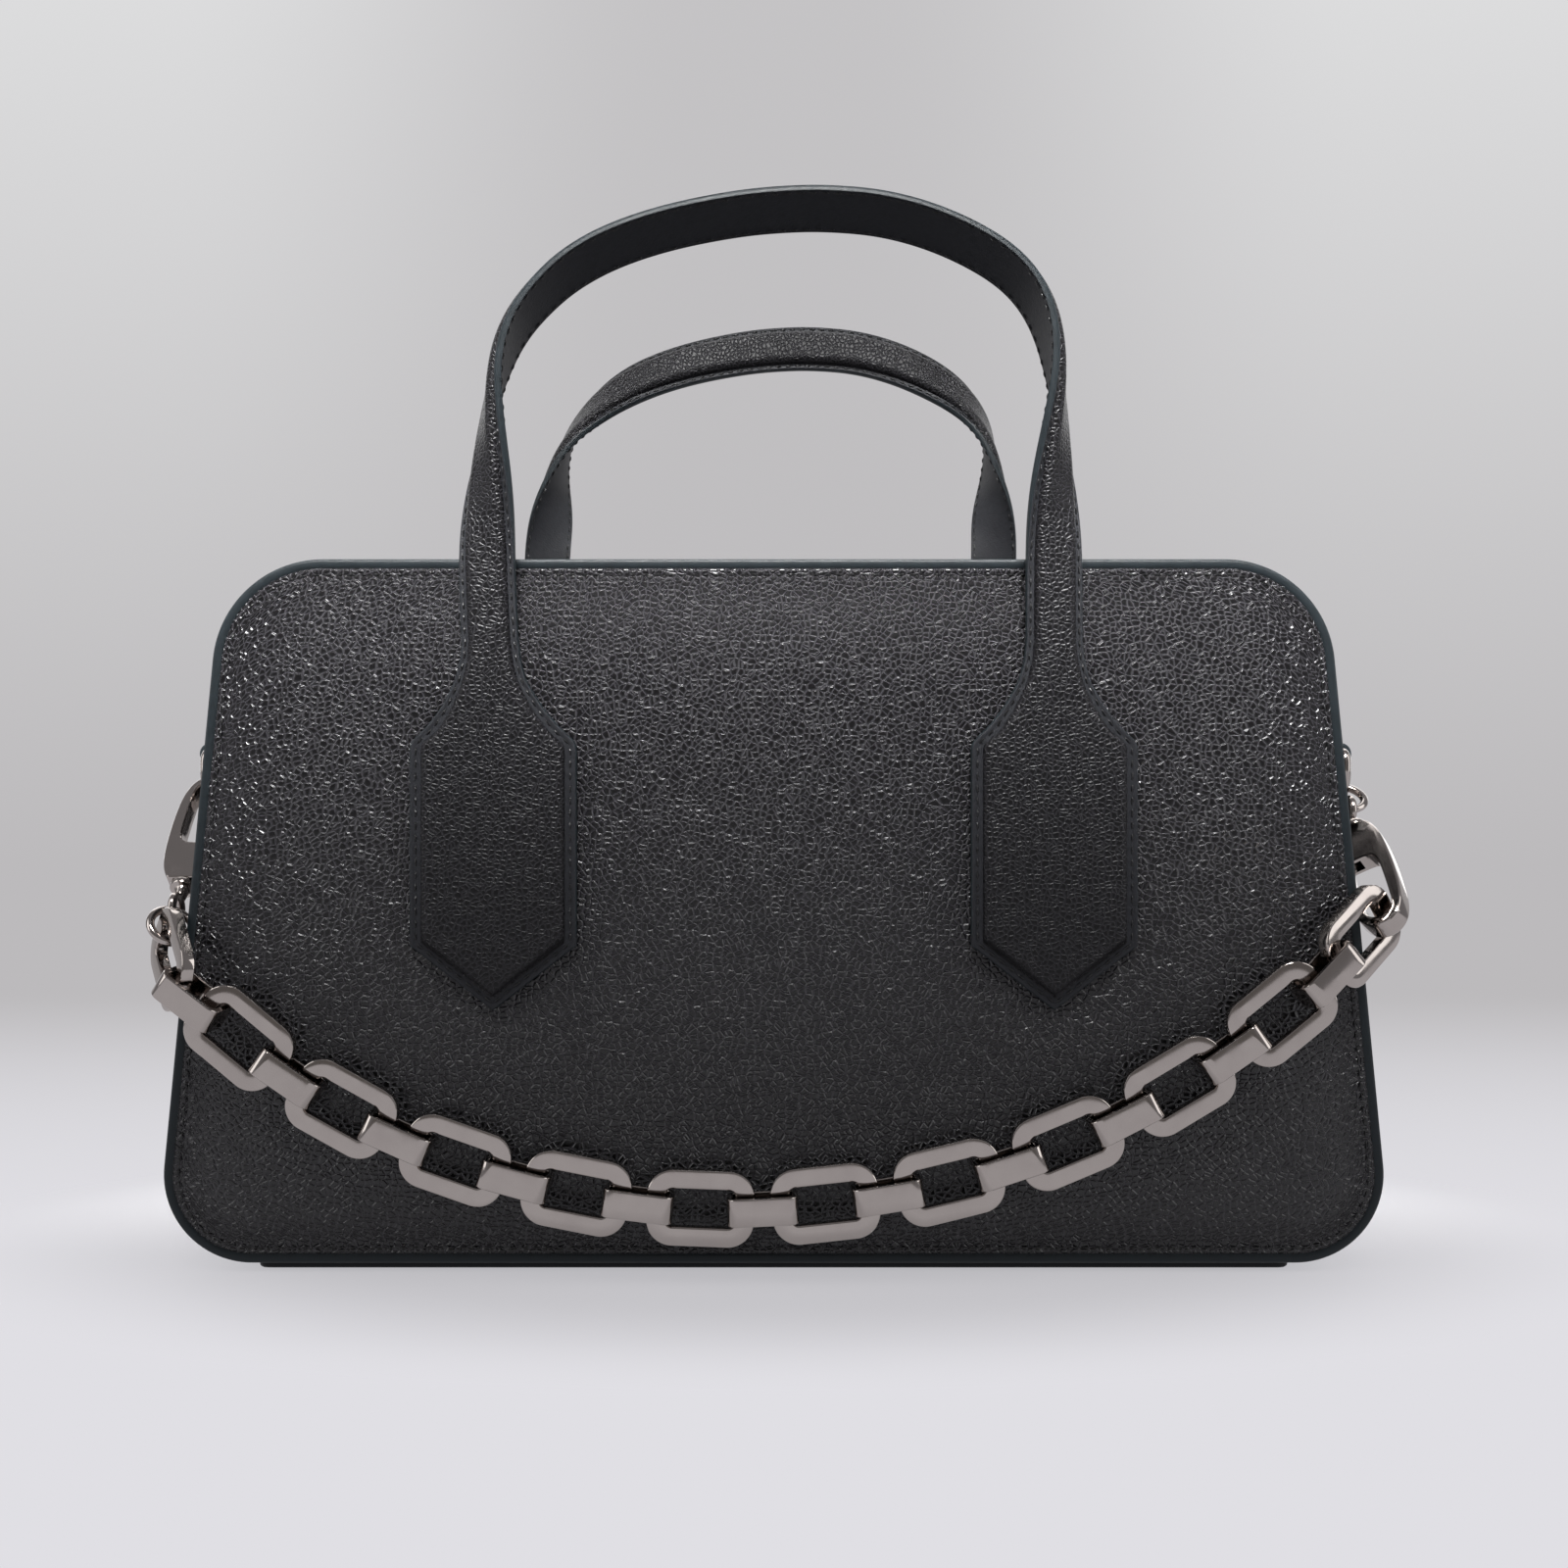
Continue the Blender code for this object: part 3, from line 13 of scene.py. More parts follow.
import bmesh
import bpy
import numpy as np
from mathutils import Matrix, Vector


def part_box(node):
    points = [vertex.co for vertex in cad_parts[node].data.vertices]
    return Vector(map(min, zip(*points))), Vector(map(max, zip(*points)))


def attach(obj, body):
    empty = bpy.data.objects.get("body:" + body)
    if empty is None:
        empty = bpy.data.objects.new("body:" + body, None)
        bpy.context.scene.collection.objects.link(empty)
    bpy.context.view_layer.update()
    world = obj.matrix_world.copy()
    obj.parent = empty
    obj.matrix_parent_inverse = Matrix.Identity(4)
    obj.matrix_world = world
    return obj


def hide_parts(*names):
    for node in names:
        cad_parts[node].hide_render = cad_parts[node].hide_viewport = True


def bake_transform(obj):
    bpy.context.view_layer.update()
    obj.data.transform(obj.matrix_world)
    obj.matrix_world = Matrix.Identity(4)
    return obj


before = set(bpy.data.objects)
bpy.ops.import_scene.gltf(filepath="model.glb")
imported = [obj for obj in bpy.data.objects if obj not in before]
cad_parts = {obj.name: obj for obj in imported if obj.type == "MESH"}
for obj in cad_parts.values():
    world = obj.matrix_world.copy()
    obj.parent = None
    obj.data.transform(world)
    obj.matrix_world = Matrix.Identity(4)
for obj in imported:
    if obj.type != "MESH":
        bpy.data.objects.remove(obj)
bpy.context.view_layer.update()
LOG = logging.getLogger("handbag")
MM = 0.001
Array = np.ndarray
Tree = bpy.types.NodeTree
Socket = bpy.types.NodeSocket


class Tagged(Enum):
    """An option whose name, in small letters, is part of its pieces' names."""

    @property
    def tag(self) -> str:
        """The name in small letters."""
        return self.name.lower()


class Side(Tagged):
    """The bag's two faces, with the sign of Y on each."""

    FRONT = -1.0
    REAR = 1.0


class End(Tagged):
    """The bag's two ends, with the sign of X at each."""

    LEFT = -1.0
    RIGHT = 1.0


# finishes


def linear(code: str) -> tuple[float, float, float, float]:
    """Turns an sRGB hex colour to linear.

    Args:
        code: Six hex digits.

    Returns:
        Red, green, blue and alpha, linear.
    """
    shares = [int(code[i:i + 2], 16) / 255.0 for i in (0, 2, 4)]
    made = [c / 12.92 if c <= 0.04045 else ((c + 0.055) / 1.055) ** 2.4 for c in shares]
    return made[0], made[1], made[2], 1.0


def feed(tree: Tree, node: bpy.types.Node, inputs: dict[str | int, Any]) -> bpy.types.Node:
    """Sets a node's inputs: an output socket is linked, and anything else is a constant.

    Args:
        tree: The node's tree.
        node: The node.
        inputs: Input socket, by name or number, to what it gets.

    Returns:
        The node.
    """
    for socket, value in inputs.items():
        if isinstance(value, bpy.types.NodeSocket):
            tree.links.new(value, node.inputs[socket])
        else:
            node.inputs[socket].default_value = value
    return node


def add_node(tree: Tree, kind: str, inputs: dict[str | int, Any] | None = None,
             **settings: Any) -> bpy.types.Node:
    """Adds one node to a tree, sets its attributes and feeds its inputs.

    Args:
        tree: The tree to add to.
        kind: The node's type, without its common first word.
        inputs: Input socket, by name or number, to what it gets.
        settings: The node's attributes.

    Returns:
        The node.
    """
    node = tree.nodes.new("ShaderNode" + kind)
    for key, value in settings.items():
        setattr(node, key, value)
    return feed(tree, node, inputs or {})


def ramp(tree: Tree, value: Socket, low: float, high: float, start: float = 0.0, end: float = 1.0,
         smooth: bool = False) -> Socket:
    """Maps a value from the run low to high onto the run start to end, clamped.

    Args:
        tree: The tree to add to.
        value: What is mapped.
        low: The value that gives start.
        high: The value that gives end.
        start: The first result.
        end: The last result.
        smooth: Whether the run has level ends.

    Returns:
        The result's socket.
    """
    return add_node(tree, "MapRange", {"Value": value, "From Min": low, "From Max": high,
                                       "To Min": start, "To Max": end},
                    interpolation_type="SMOOTHSTEP" if smooth else "LINEAR").outputs["Result"]


def tint(tree: Tree, share: Socket, first: str | Socket, second: str | Socket) -> Socket:
    """Mixes two colours, each given as hex digits or as a socket."""
    tones = [linear(tone) if isinstance(tone, str) else tone for tone in (first, second)]
    return add_node(tree, "Mix", {0: share, 6: tones[0], 7: tones[1]}, data_type="RGBA").outputs[2]


def combine(tree: Tree, operation: str, *terms: Any, vector: bool = False) -> Socket:
    """Works out an operation on sockets and constants, on numbers or on vectors."""
    node = add_node(tree, "VectorMath" if vector else "Math", dict(enumerate(terms)),
                    operation=operation)
    return node.outputs["Vector" if vector and operation != "LENGTH" else "Value"]


def noise(tree: Tree, place: Socket, scale: float, detail: float = 2.0, distortion: float = 0.0,
          output: str = "Fac") -> Socket:
    """Adds cloudy noise at a place."""
    return add_node(tree, "TexNoise", {"Vector": place, "Scale": scale, "Detail": detail,
                                       "Distortion": distortion}).outputs[output]


def bump(tree: Tree, height: Socket, distance: float, strength: float = 1.0) -> Socket:
    """Turns a height from 0 to 1 into a bumped normal."""
    return add_node(tree, "Bump", {"Height": height, "Distance": distance,
                                   "Strength": strength}).outputs["Normal"]


def object_place(tree: Tree) -> Socket:
    """The place on the object, in metres."""
    return add_node(tree, "TexCoord").outputs["Object"]


@dataclass(frozen=True)
class Finish:
    """What a surface is made of; its material is made once, from what `inputs` gives."""

    name: str = ""

    def inputs(self, tree: Tree) -> dict[str, Any]:
        """Adds the finish's nodes and returns what the shader's inputs get."""
        raise NotImplementedError

    def material(self) -> bpy.types.Material:
        """Returns the material, which the first call makes."""
        made = bpy.data.materials.get(self.name)
        if made is None:
            made = bpy.data.materials.new(self.name)
            made.use_nodes = True
            tree = made.node_tree
            feed(tree, tree.nodes["Principled BSDF"], self.inputs(tree))
        return made


@dataclass(frozen=True)
class PebbledCalf(Finish):
    """Shrunken calfskin, dyed through: flat-topped pebbles with steep sides and narrow creases.

    The tops are dark. The steep sides are painted a lighter grey, a painted highlight where the
    lights above would catch them, besides the light that the bumped relief really gets; the creases
    are painted nearly black, a painted shade. A cell's distance to its edge, in pebbles, is 0 in the
    crease and about 0.3 on the top.
    """

    name: str = "pebbled_calf"
    top: str = "080709"
    # Painted highlight: the lighter grey of the pebbles' steep sides.
    painted_highlight: str = "343237"
    # Painted shade: the near-black of the creases.
    painted_crease_shade: str = "060507"
    pebble: float = 1.75 * MM
    relief: float = 0.31 * MM
    roughness: float = 0.25
    gloss: float = 0.50
    crease_edge: float = 0.06
    side_edge: float = 0.23
    top_edge: float = 0.28

    def inputs(self, tree: Tree) -> dict[str, Any]:
        """Cells on the true-size UV map, drawn out and warped, with pores on their tops.

        The colour paints a highlight on the cells' sides and shade in their creases.
        """
        spots = add_node(tree, "TexCoord").outputs
        flat = combine(tree, "MULTIPLY", spots["UV"], (1.2, 1.0, 1.0), vector=True)
        drift = noise(tree, spots["Object"], 0.35 / self.pebble, output="Color")
        warp = combine(tree, "MULTIPLY_ADD", drift, (self.pebble * 1.3,) * 3, flat, vector=True)
        edge = add_node(tree, "TexVoronoi", {"Vector": warp, "Scale": 1.0 / self.pebble,
                                             "Randomness": 1.0},
                        feature="DISTANCE_TO_EDGE", voronoi_dimensions="2D").outputs["Distance"]
        dome = ramp(tree, edge, 0.0, self.top_edge, smooth=True)
        pores = noise(tree, spots["Object"], 3.0 / self.pebble)
        height = combine(tree, "MULTIPLY_ADD", pores, 0.12, dome)
        # Mask for the painted highlight: 1 on a pebble's steep side, 0 on its top.
        side = ramp(tree, edge, self.crease_edge, self.side_edge, 1.0, 0.0, smooth=True)
        # Mask that is 0 in the crease: there the painted shade goes and the roughness rises.
        sunk = ramp(tree, edge, 0.0, self.crease_edge, smooth=True)
        # Base colour: painted shade in the creases, painted highlight on the sides, the dark dye on
        # the tops.
        return {"Base Color": tint(tree, sunk, self.painted_crease_shade, tint(tree, side, self.top, self.painted_highlight)),
                "Roughness": ramp(tree, sunk, 0.0, 1.0, self.roughness + 0.30, self.roughness),
                "Specular IOR Level": self.gloss, "Normal": bump(tree, height, self.relief)}


@dataclass(frozen=True)
class FineCalf(Finish):
    """Plain calfskin, plated flat, as on linings and the base: a fine even grain, a low sheen."""

    name: str = "fine_calf"
    tone: str = "303135"
    dark: str = "1f2023"
    grain: float = 0.45 * MM
    relief: float = 0.05 * MM
    roughness: float = 0.50
    gloss: float = 0.20

    def inputs(self, tree: Tree) -> dict[str, Any]:
        """Small cells over slow folds."""
        place = object_place(tree)
        cells = add_node(tree, "TexVoronoi", {"Vector": place, "Scale": 1.0 / self.grain},
                         feature="SMOOTH_F1").outputs["Distance"]
        folds = noise(tree, place, 0.3 / self.grain, 4.0, 0.6)
        height = combine(tree, "MULTIPLY_ADD", folds, 1.6, cells)
        return {"Base Color": tint(tree, folds, self.dark, self.tone),
                "Roughness": ramp(tree, folds, 0.0, 1.0, self.roughness - 0.08,
                                  self.roughness + 0.12),
                "Specular IOR Level": self.gloss, "Normal": bump(tree, height, self.relief, 0.8)}


@dataclass(frozen=True)
class EdgePaint(Finish):
    """Acrylic edge paint in three coats, rubbed down: smooth, softly glossy, a cool black."""

    name: str = "edge_paint"
    tone: str = "1d262b"
    dark: str = "12181b"
    ripple: float = 2.5 * MM
    roughness: float = 0.46
    gloss: float = 0.3

    def inputs(self, tree: Tree) -> dict[str, Any]:
        """Slow ripples of the brush."""
        waves = noise(tree, object_place(tree), 1.0 / self.ripple)
        return {"Base Color": tint(tree, waves, self.dark, self.tone),
                "Roughness": ramp(tree, waves, 0.0, 1.0, self.roughness - 0.06,
                                  self.roughness + 0.10),
                "Specular IOR Level": self.gloss, "Normal": bump(tree, waves, 0.10 * MM, 0.5)}


@dataclass(frozen=True)
class WaxedThread(Finish):
    """Waxed polyester thread of three twisted plies, black, a little shinier than the leather."""

    name: str = "waxed_thread"
    tone: str = "0b0b0d"
    dark: str = "08080a"
    ply: float = 0.5 * MM

    def inputs(self, tree: Tree) -> dict[str, Any]:
        """Slanting bands for the twisted plies."""
        plies = add_node(tree, "TexWave", {"Vector": object_place(tree), "Scale": 0.3 / self.ply,
                                           "Distortion": 1.0},
                         wave_type="BANDS", bands_direction="DIAGONAL").outputs["Fac"]
        return {"Base Color": tint(tree, plies, self.dark, self.tone), "Roughness": 0.42,
                "Normal": bump(tree, plies, 0.08 * MM, 0.8)}


@dataclass(frozen=True)
class DarkPlatedBrass(Finish):
    """Brass, polished to a mirror and plated dark: it shows the pale studio in a warm grey."""

    name: str = "dark_plated_brass"
    tone: str = "a09894"
    pale: str = "aaa39e"
    smear: float = 6.0 * MM
    roughness: float = 0.10

    def inputs(self, tree: Tree) -> dict[str, Any]:
        """Faint smears in the polish."""
        smears = noise(tree, object_place(tree), 1.0 / self.smear, 5.0)
        return {"Base Color": tint(tree, smears, self.pale, self.tone), "Metallic": 1.0,
                "Roughness": ramp(tree, smears, 0.35, 0.7, self.roughness - 0.03,
                                  self.roughness + 0.05),
                "Normal": bump(tree, smears, 0.02 * MM, 0.3)}


@dataclass(frozen=True)
class WovenTape(Finish):
    """Polyester zip tape in a fine weave: matt black with faint ribs."""

    name: str = "woven_tape"
    tone: str = "161618"
    dark: str = "060607"
    thread: float = 0.7 * MM

    def inputs(self, tree: Tree) -> dict[str, Any]:
        """Two sets of bands, one across the other."""
        bands = {"Vector": object_place(tree), "Scale": math.pi / 10.0 / self.thread}
        warp, weft = (add_node(tree, "TexWave", bands, wave_type="BANDS",
                               bands_direction=way).outputs["Fac"] for way in "XY")
        weave = combine(tree, "MULTIPLY", warp, weft)
        return {"Base Color": tint(tree, weave, self.dark, self.tone), "Roughness": 0.85,
                "Normal": bump(tree, weave, 0.15 * MM, 0.9)}


@dataclass(frozen=True)
class FibreBoard(Finish):
    """Pressed fibreboard, hidden in the base: matt grey-brown with short pale fibres."""

    name: str = "fibre_board"
    tone: str = "4a4540"
    dark: str = "2b2825"
    fibre: float = 1.2 * MM

    def inputs(self, tree: Tree) -> dict[str, Any]:
        """Tangled noise for the fibres."""
        fibres = noise(tree, object_place(tree), 1.0 / self.fibre, 6.0, 2.0)
        return {"Base Color": tint(tree, fibres, self.dark, self.tone), "Roughness": 0.9}


CALF = PebbledCalf()
# The strap's pebble sides get a dimmer painted highlight than the panel's.
STRAP_CALF = PebbledCalf("strap_calf", painted_highlight="28272b", pebble=1.5 * MM, relief=0.14 * MM,
                         roughness=0.40, gloss=0.26)
FINE = FineCalf()
PAINT = EdgePaint()
THREAD = WaxedThread()
METAL = DarkPlatedBrass()
TAPE = WovenTape()
BOARD = FibreBoard()


# shapes that several pieces use

UP = (0.0, 0.0, 1.0)
ASIDE = (0.0, 1.0, 0.0)
MERGE_REACH = 0.001 * MM
SQUARE = np.array([(-1.0, 1.0), (-1.0, -1.0), (1.0, -1.0), (1.0, 1.0)])


def lay(*parts: Any) -> Array:
    """Joins coordinates, each a number or an array, to points along a new last axis."""
    return np.stack(np.broadcast_arrays(*parts), axis=-1)


def unit(vectors: Array) -> Array:
    """Vectors scaled to length one along their last axis."""
    return vectors / np.maximum(np.linalg.norm(vectors, axis=-1, keepdims=True), 1e-12)


def ease(share: Array) -> Array:
    """Rises from 0 to 1 with level ends: three times the square less twice the cube."""
    s = np.clip(share, 0.0, 1.0)
    return s * s * (3.0 - 2.0 * s)


def relax(line: Array, passes: int, closed: bool = False) -> Array:
    """Evens out a line: each pass takes half of a point and a quarter of each neighbour.

    Args:
        line: Points, one a row, or a run of numbers.
        passes: How often.
        closed: Whether the line returns to its start.

    Returns:
        The evened line; an open line keeps its ends.
    """
    line = np.array(line, dtype=float)
    for _ in range(passes):
        if closed:
            line = 0.5 * line + 0.25 * (np.roll(line, 1, 0) + np.roll(line, -1, 0))
        else:
            line[1:-1] = 0.5 * line[1:-1] + 0.25 * (line[:-2] + line[2:])
    return line


def along_line(line: Array) -> Array:
    """Distance of each point of a line from its start."""
    steps = np.linalg.norm(np.diff(line, axis=0), axis=1)
    return np.concatenate([[0.0], np.cumsum(steps)])


def sample(line: Array, at: Array, values: Array) -> Array:
    """Values given at a line's points, read at other distances along it.

    Args:
        line: Points, one a row.
        at: Distances along the line.
        values: One row for each point of the line.

    Returns:
        One row for each distance, by straight steps between the rows.
    """
    run = along_line(line)
    return np.stack([np.interp(at, run, values[:, k]) for k in range(values.shape[1])], axis=1)


def evened(line: Array, count: int, passes: int) -> Array:
    """Lays a number of points evenly along a line, then evens out its corners."""
    at = np.linspace(0.0, along_line(line)[-1], count)
    return relax(sample(line, at, line), passes)


def rounded_polygon(corners: Array, radii: Sequence[float], step: float) -> tuple[Array, Array]:
    """Walks round a polygon whose corners are arcs.

    An arc's middle lies on the corner's bisector at radius / sin(half angle); its points are the
    middle plus the radius times a normal that turns evenly from one side's to the next side's.

    Args:
        corners: Corner points in order, anticlockwise, two numbers each.
        radii: The arc's radius at each corner.
        step: Longest distance between points.

    Returns:
        Points and outward normals, two numbers each.
    """
    points, normals = [], []
    count = len(corners)
    for i in range(count):
        here = corners[i]
        back = unit(corners[i - 1] - here)
        ahead = unit(corners[(i + 1) % count] - here)
        half = math.acos(float(np.clip(back @ ahead, -1.0, 1.0))) / 2.0
        middle = here + unit(back + ahead) * radii[i] / math.sin(half)
        first = unit(here + back * radii[i] / math.tan(half) - middle)
        turn = math.pi - 2.0 * half
        angles = np.linspace(0.0, turn, max(4, int(radii[i] * turn / step) + 2))
        normal = lay(first[0] * np.cos(angles) - first[1] * np.sin(angles),
                     first[0] * np.sin(angles) + first[1] * np.cos(angles))
        points.append(middle + normal * radii[i])
        normals.append(normal)
    out_points, out_normals = [], []
    for i in range(count):
        out_points.append(points[i])
        out_normals.append(normals[i])
        start, stop = points[i][-1], points[(i + 1) % count][0]
        steps = max(2, int(np.linalg.norm(stop - start) / step) + 1)
        share = np.linspace(0.0, 1.0, steps)[1:-1, None]
        out_points.append(start + (stop - start) * share)
        out_normals.append(np.repeat(normals[i][-1:], len(share), axis=0))
    return np.concatenate(out_points), np.concatenate(out_normals)


def rounded_box(half_a: float, half_b: float, radius: float, step: float) -> tuple[Array, Array]:
    """Points and outward normals round a rectangle whose corners are arcs."""
    return rounded_polygon(SQUARE * (half_a, half_b), (radius,) * 4, step)


@dataclass
class Patch:
    """A grid of points, rows by columns, with the finish number of each of its faces.

    Lengths along the rows are means over the grid, or run in each row from a middle column.
    """

    points: Array
    wrap_rows: bool = False
    wrap_columns: bool = False
    slots: Array | int = 0
    middle: int | None = None

    def faces(self) -> tuple[Array, Array, Array]:
        """Works out the grid's faces.

        Returns:
            Corner indices, four a face; finish numbers; and each corner's place along the rows and
            columns, in metres.
        """
        rows, columns = self.points.shape[:2]
        i, j = np.meshgrid(np.arange(rows if self.wrap_rows else rows - 1),
                           np.arange(columns if self.wrap_columns else columns - 1), indexing="ij")
        r = np.stack([i, i, i + 1, i + 1], axis=-1)
        c = np.stack([j, j + 1, j + 1, j], axis=-1)
        quads = (r % rows) * columns + c % columns
        slots = np.broadcast_to(np.asarray(self.slots), i.shape)
        grid = np.concatenate([self.points, self.points[:1]], axis=0)
        grid = np.concatenate([grid, grid[:, :1]], axis=1)
        step = np.diff(grid, axis=1)
        if self.middle is None:
            down = np.linalg.norm(np.diff(grid, axis=0), axis=2).mean(axis=1)
            along = np.append(0.0, np.cumsum(down))[:, None] + np.zeros(columns + 1)
            steps = np.linalg.norm(step, axis=2).mean(axis=0)[None] + np.zeros((rows + 1, 1))
        else:
            line = grid[:, self.middle]
            ahead = unit(np.gradient(line[:-1], axis=0))[np.minimum(np.arange(rows + 1), rows - 1)]
            along = along_line(line)[:, None] + np.einsum("ijk,ik->ij", grid - line[:, None], ahead)
            run = np.einsum("ijk,ik->ij", step, ahead)
            steps = np.linalg.norm(step - run[..., None] * ahead[:, None], axis=2)
        across = np.concatenate([np.zeros((rows + 1, 1)), np.cumsum(steps, axis=1)], axis=1)
        across -= across[:, self.middle or 0][:, None]
        places = np.stack([along[r, c], across[r, c]], axis=-1)
        return quads.reshape(-1, 4), slots.reshape(-1), places.reshape(-1, 2)


def add_object(name: str, data: bpy.types.ID) -> bpy.types.Object:
    """Makes an object of a mesh, a light or a camera in the scene.

    Args:
        name: The object's name.
        data: The mesh, light or camera.

    Returns:
        The object.
    """
    made = bpy.data.objects.new(name, data)
    bpy.context.scene.collection.objects.link(made)
    return made


def mend(mesh: bpy.types.Mesh) -> None:
    """Merges points that coincide and turns the faces outwards.

    Args:
        mesh: The mesh, which is changed.
    """
    bm = bmesh.new()
    bm.from_mesh(mesh)
    bmesh.ops.remove_doubles(bm, verts=bm.verts[:], dist=MERGE_REACH)
    bmesh.ops.recalc_face_normals(bm, faces=bm.faces[:])
    bm.to_mesh(mesh)
    bm.free()


def make_piece(name: str, patches: Sequence[Patch], finishes: Sequence[Finish], body: str | None,
               replaces: Sequence[str] = (), sharp: float = 40.0,
               caps: Sequence[Array] = ()) -> bpy.types.Object:
    """Makes one closed piece from grids that meet edge to edge, and seats it on its body.

    Args:
        name: The piece's name.
        patches: Its grids; points that coincide are merged.
        finishes: The finishes that the grids' numbers pick from.
        body: The body that it rides on, or None for none.
        replaces: The solids that it stands for.
        sharp: Edges that turn by more than this many degrees stay sharp.
        caps: Flat faces, each given as the points round it.

    Returns:
        The piece.
    """
    vertices, quads, slots, places = [], [], [], []
    first = 0
    for patch in patches:
        corner, number, place = patch.faces()
        vertices.append(patch.points.reshape(-1, 3))
        quads.append(corner + first)
        slots.append(number)
        places.append(place)
        first += len(vertices[-1])
    faces = np.concatenate(quads).tolist()
    for cap in caps:
        vertices.append(cap)
        faces.append(list(range(first, first + len(cap))))
        slots.append(np.zeros(1))
        places.append(np.zeros((len(cap), 2)))
        first += len(cap)
    mesh = bpy.data.meshes.new(name)
    mesh.from_pydata(np.concatenate(vertices), [], faces)
    mesh.polygons.foreach_set("material_index", np.concatenate(slots).astype(np.int32))
    mesh.uv_layers.new(name="UVMap").data.foreach_set("uv", np.concatenate(places).ravel())
    for finish in finishes:
        mesh.materials.append(finish.material())
    mend(mesh)
    mesh.shade_smooth()
    mesh.set_sharp_from_angle(angle=math.radians(sharp))
    piece = add_object(name, mesh)
    if body is not None:
        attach(piece, body)
    if replaces:
        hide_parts(*replaces)
    LOG.info("%s: %d faces", name, len(mesh.polygons))
    return piece


def sweep(path: Array, across: Array, up: Array, section: Array, closed: bool,
          slots: Array | int = 0) -> Patch:
    """Carries a closed section along a path: path plus across times a plus up times b.

    Args:
        path: Points, one a row.
        across: The section's first axis, at each point or for all of them.
        up: The section's second axis, likewise.
        section: Points (a, b) of the section, in order; or one such list for each path point.
        closed: Whether the path returns to its start; an open one gets its ends filled.
        slots: Finish numbers.

    Returns:
        The grid.
    """
    section = np.broadcast_to(section, (len(path),) + np.shape(section)[-2:])
    across, up = np.broadcast_to(across, path.shape), np.broadcast_to(up, path.shape)
    grid = (path[:, None] + across[:, None] * section[..., :1] + up[:, None] * section[..., 1:])
    if not closed:
        ends = [np.broadcast_to(row.mean(axis=0), row.shape)[None] for row in (grid[0], grid[-1])]
        grid = np.concatenate([ends[0], grid, ends[1]])
    return Patch(grid, wrap_rows=closed, wrap_columns=True, slots=slots)


def rounded_bar(half_a: float, half_b: float, edge: float, steps: int) -> Array:
    """Section of a bar whose four long edges are rounded, as points (a, b).

    Args:
        half_a: Half its width.
        half_b: Half its thickness.
        edge: Radius of its edges.
        steps: Points for each edge.

    Returns:
        The points in order.
    """
    corners = np.array([(-half_a, half_b), (-half_a, -half_b), (half_a, -half_b), (half_a, half_b)])
    out = []
    for i, (a, b) in enumerate(corners):
        angles = math.radians(90.0 + 90.0 * i) + np.linspace(0.0, math.pi / 2.0, steps)
        middle = (a - math.copysign(edge, a), b - math.copysign(edge, b))
        out.append(lay(middle[0] + edge * np.cos(angles), middle[1] + edge * np.sin(angles)))
    return np.concatenate(out)


def round_bar(radius: float, count: int) -> Array:
    """Section of a round wire, as points (a, b)."""
    angles = np.arange(count) * 2.0 * math.pi / count
    return radius * lay(np.cos(angles), np.sin(angles))


def hoop(middle: Array, axes: Sequence[Array], radius: float, wire: float, steps: int,
         sides: int) -> Patch:
    """Bends a round wire to a ring in the plane of its first two axes.

    Args:
        middle: The ring's middle.
        axes: Three unit vectors; the third is the ring's axis.
        radius: From the middle to the middle of the wire.
        wire: The wire's radius.
        steps: Points round the ring.
        sides: Points round the wire.

    Returns:
        The grid.
    """
    turns = round_bar(1.0, steps)
    out = axes[0] * turns[:, :1] + axes[1] * turns[:, 1:]
    return sweep(middle + out * radius, out, axes[2], round_bar(wire, sides), True)


def metal_piece(node: str, patches: Sequence[Patch], body: str, sharp: float = 40.0,
                caps: Sequence[Array] = ()) -> bpy.types.Object:
    """Makes a metal piece that stands for one solid and is named after it."""
    return make_piece(node + "_metal", patches, [METAL], body, [node], sharp,
                      caps)


@dataclass
class Stitching:
    """Rows of thread stitches: each is a short spindle whose ends dip into the leather."""

    pitch: float = 3.3 * MM
    length: float = 2.5 * MM
    radius: float = 0.26 * MM

    def row(self, line: Array, normals: Array, closed: bool = False) -> Array:
        """Lays stitches along a line on a surface.

        A stitch's radius is the full one times the root of 1 - s^2, and its height falls off with
        s^2, where s runs from -1 to 1 along the stitch.

        Args:
            line: Points on the surface, one a row.
            normals: The surface's normals there, or one for all.
            closed: Whether the line returns to its start.

        Returns:
            Points, four axes deep: stitch, ring along it, side and coordinate.
        """
        normals = np.broadcast_to(normals, line.shape)
        if closed:
            line = np.vstack([line, line[:1]])
            normals = np.vstack([normals, normals[:1]])
        total = along_line(line)[-1]
        count = max(1, int(round(total / self.pitch)))
        at = (np.arange(count) + 0.5) * total / count
        middle = sample(line, at, line)
        ahead = unit(sample(line, np.minimum(at + self.length / 2.0, total), line)
                     - sample(line, np.maximum(at - self.length / 2.0, 0.0), line))
        normal = unit(sample(line, at, normals))
        beside = unit(np.cross(normal, ahead))
        normal = np.cross(ahead, beside)
        s = np.array([-1.0, -0.88, -0.5, 0.0, 0.5, 0.88, 1.0])
        width = self.radius * np.sqrt(np.maximum(1.0 - s * s, 0.0))
        lift = self.radius * (0.75 - 1.5 * s * s)
        ring = round_bar(1.0, 6)
        return (middle[:, None, None]
                + ahead[:, None, None] * (s * self.length / 2.0)[None, :, None, None]
                + beside[:, None, None] * (width[:, None] * ring[None, :, 0])[None, :, :, None]
                + normal[:, None, None] * (lift[:, None]
                                           + width[:, None] * ring[None, :, 1])[None, :, :, None])


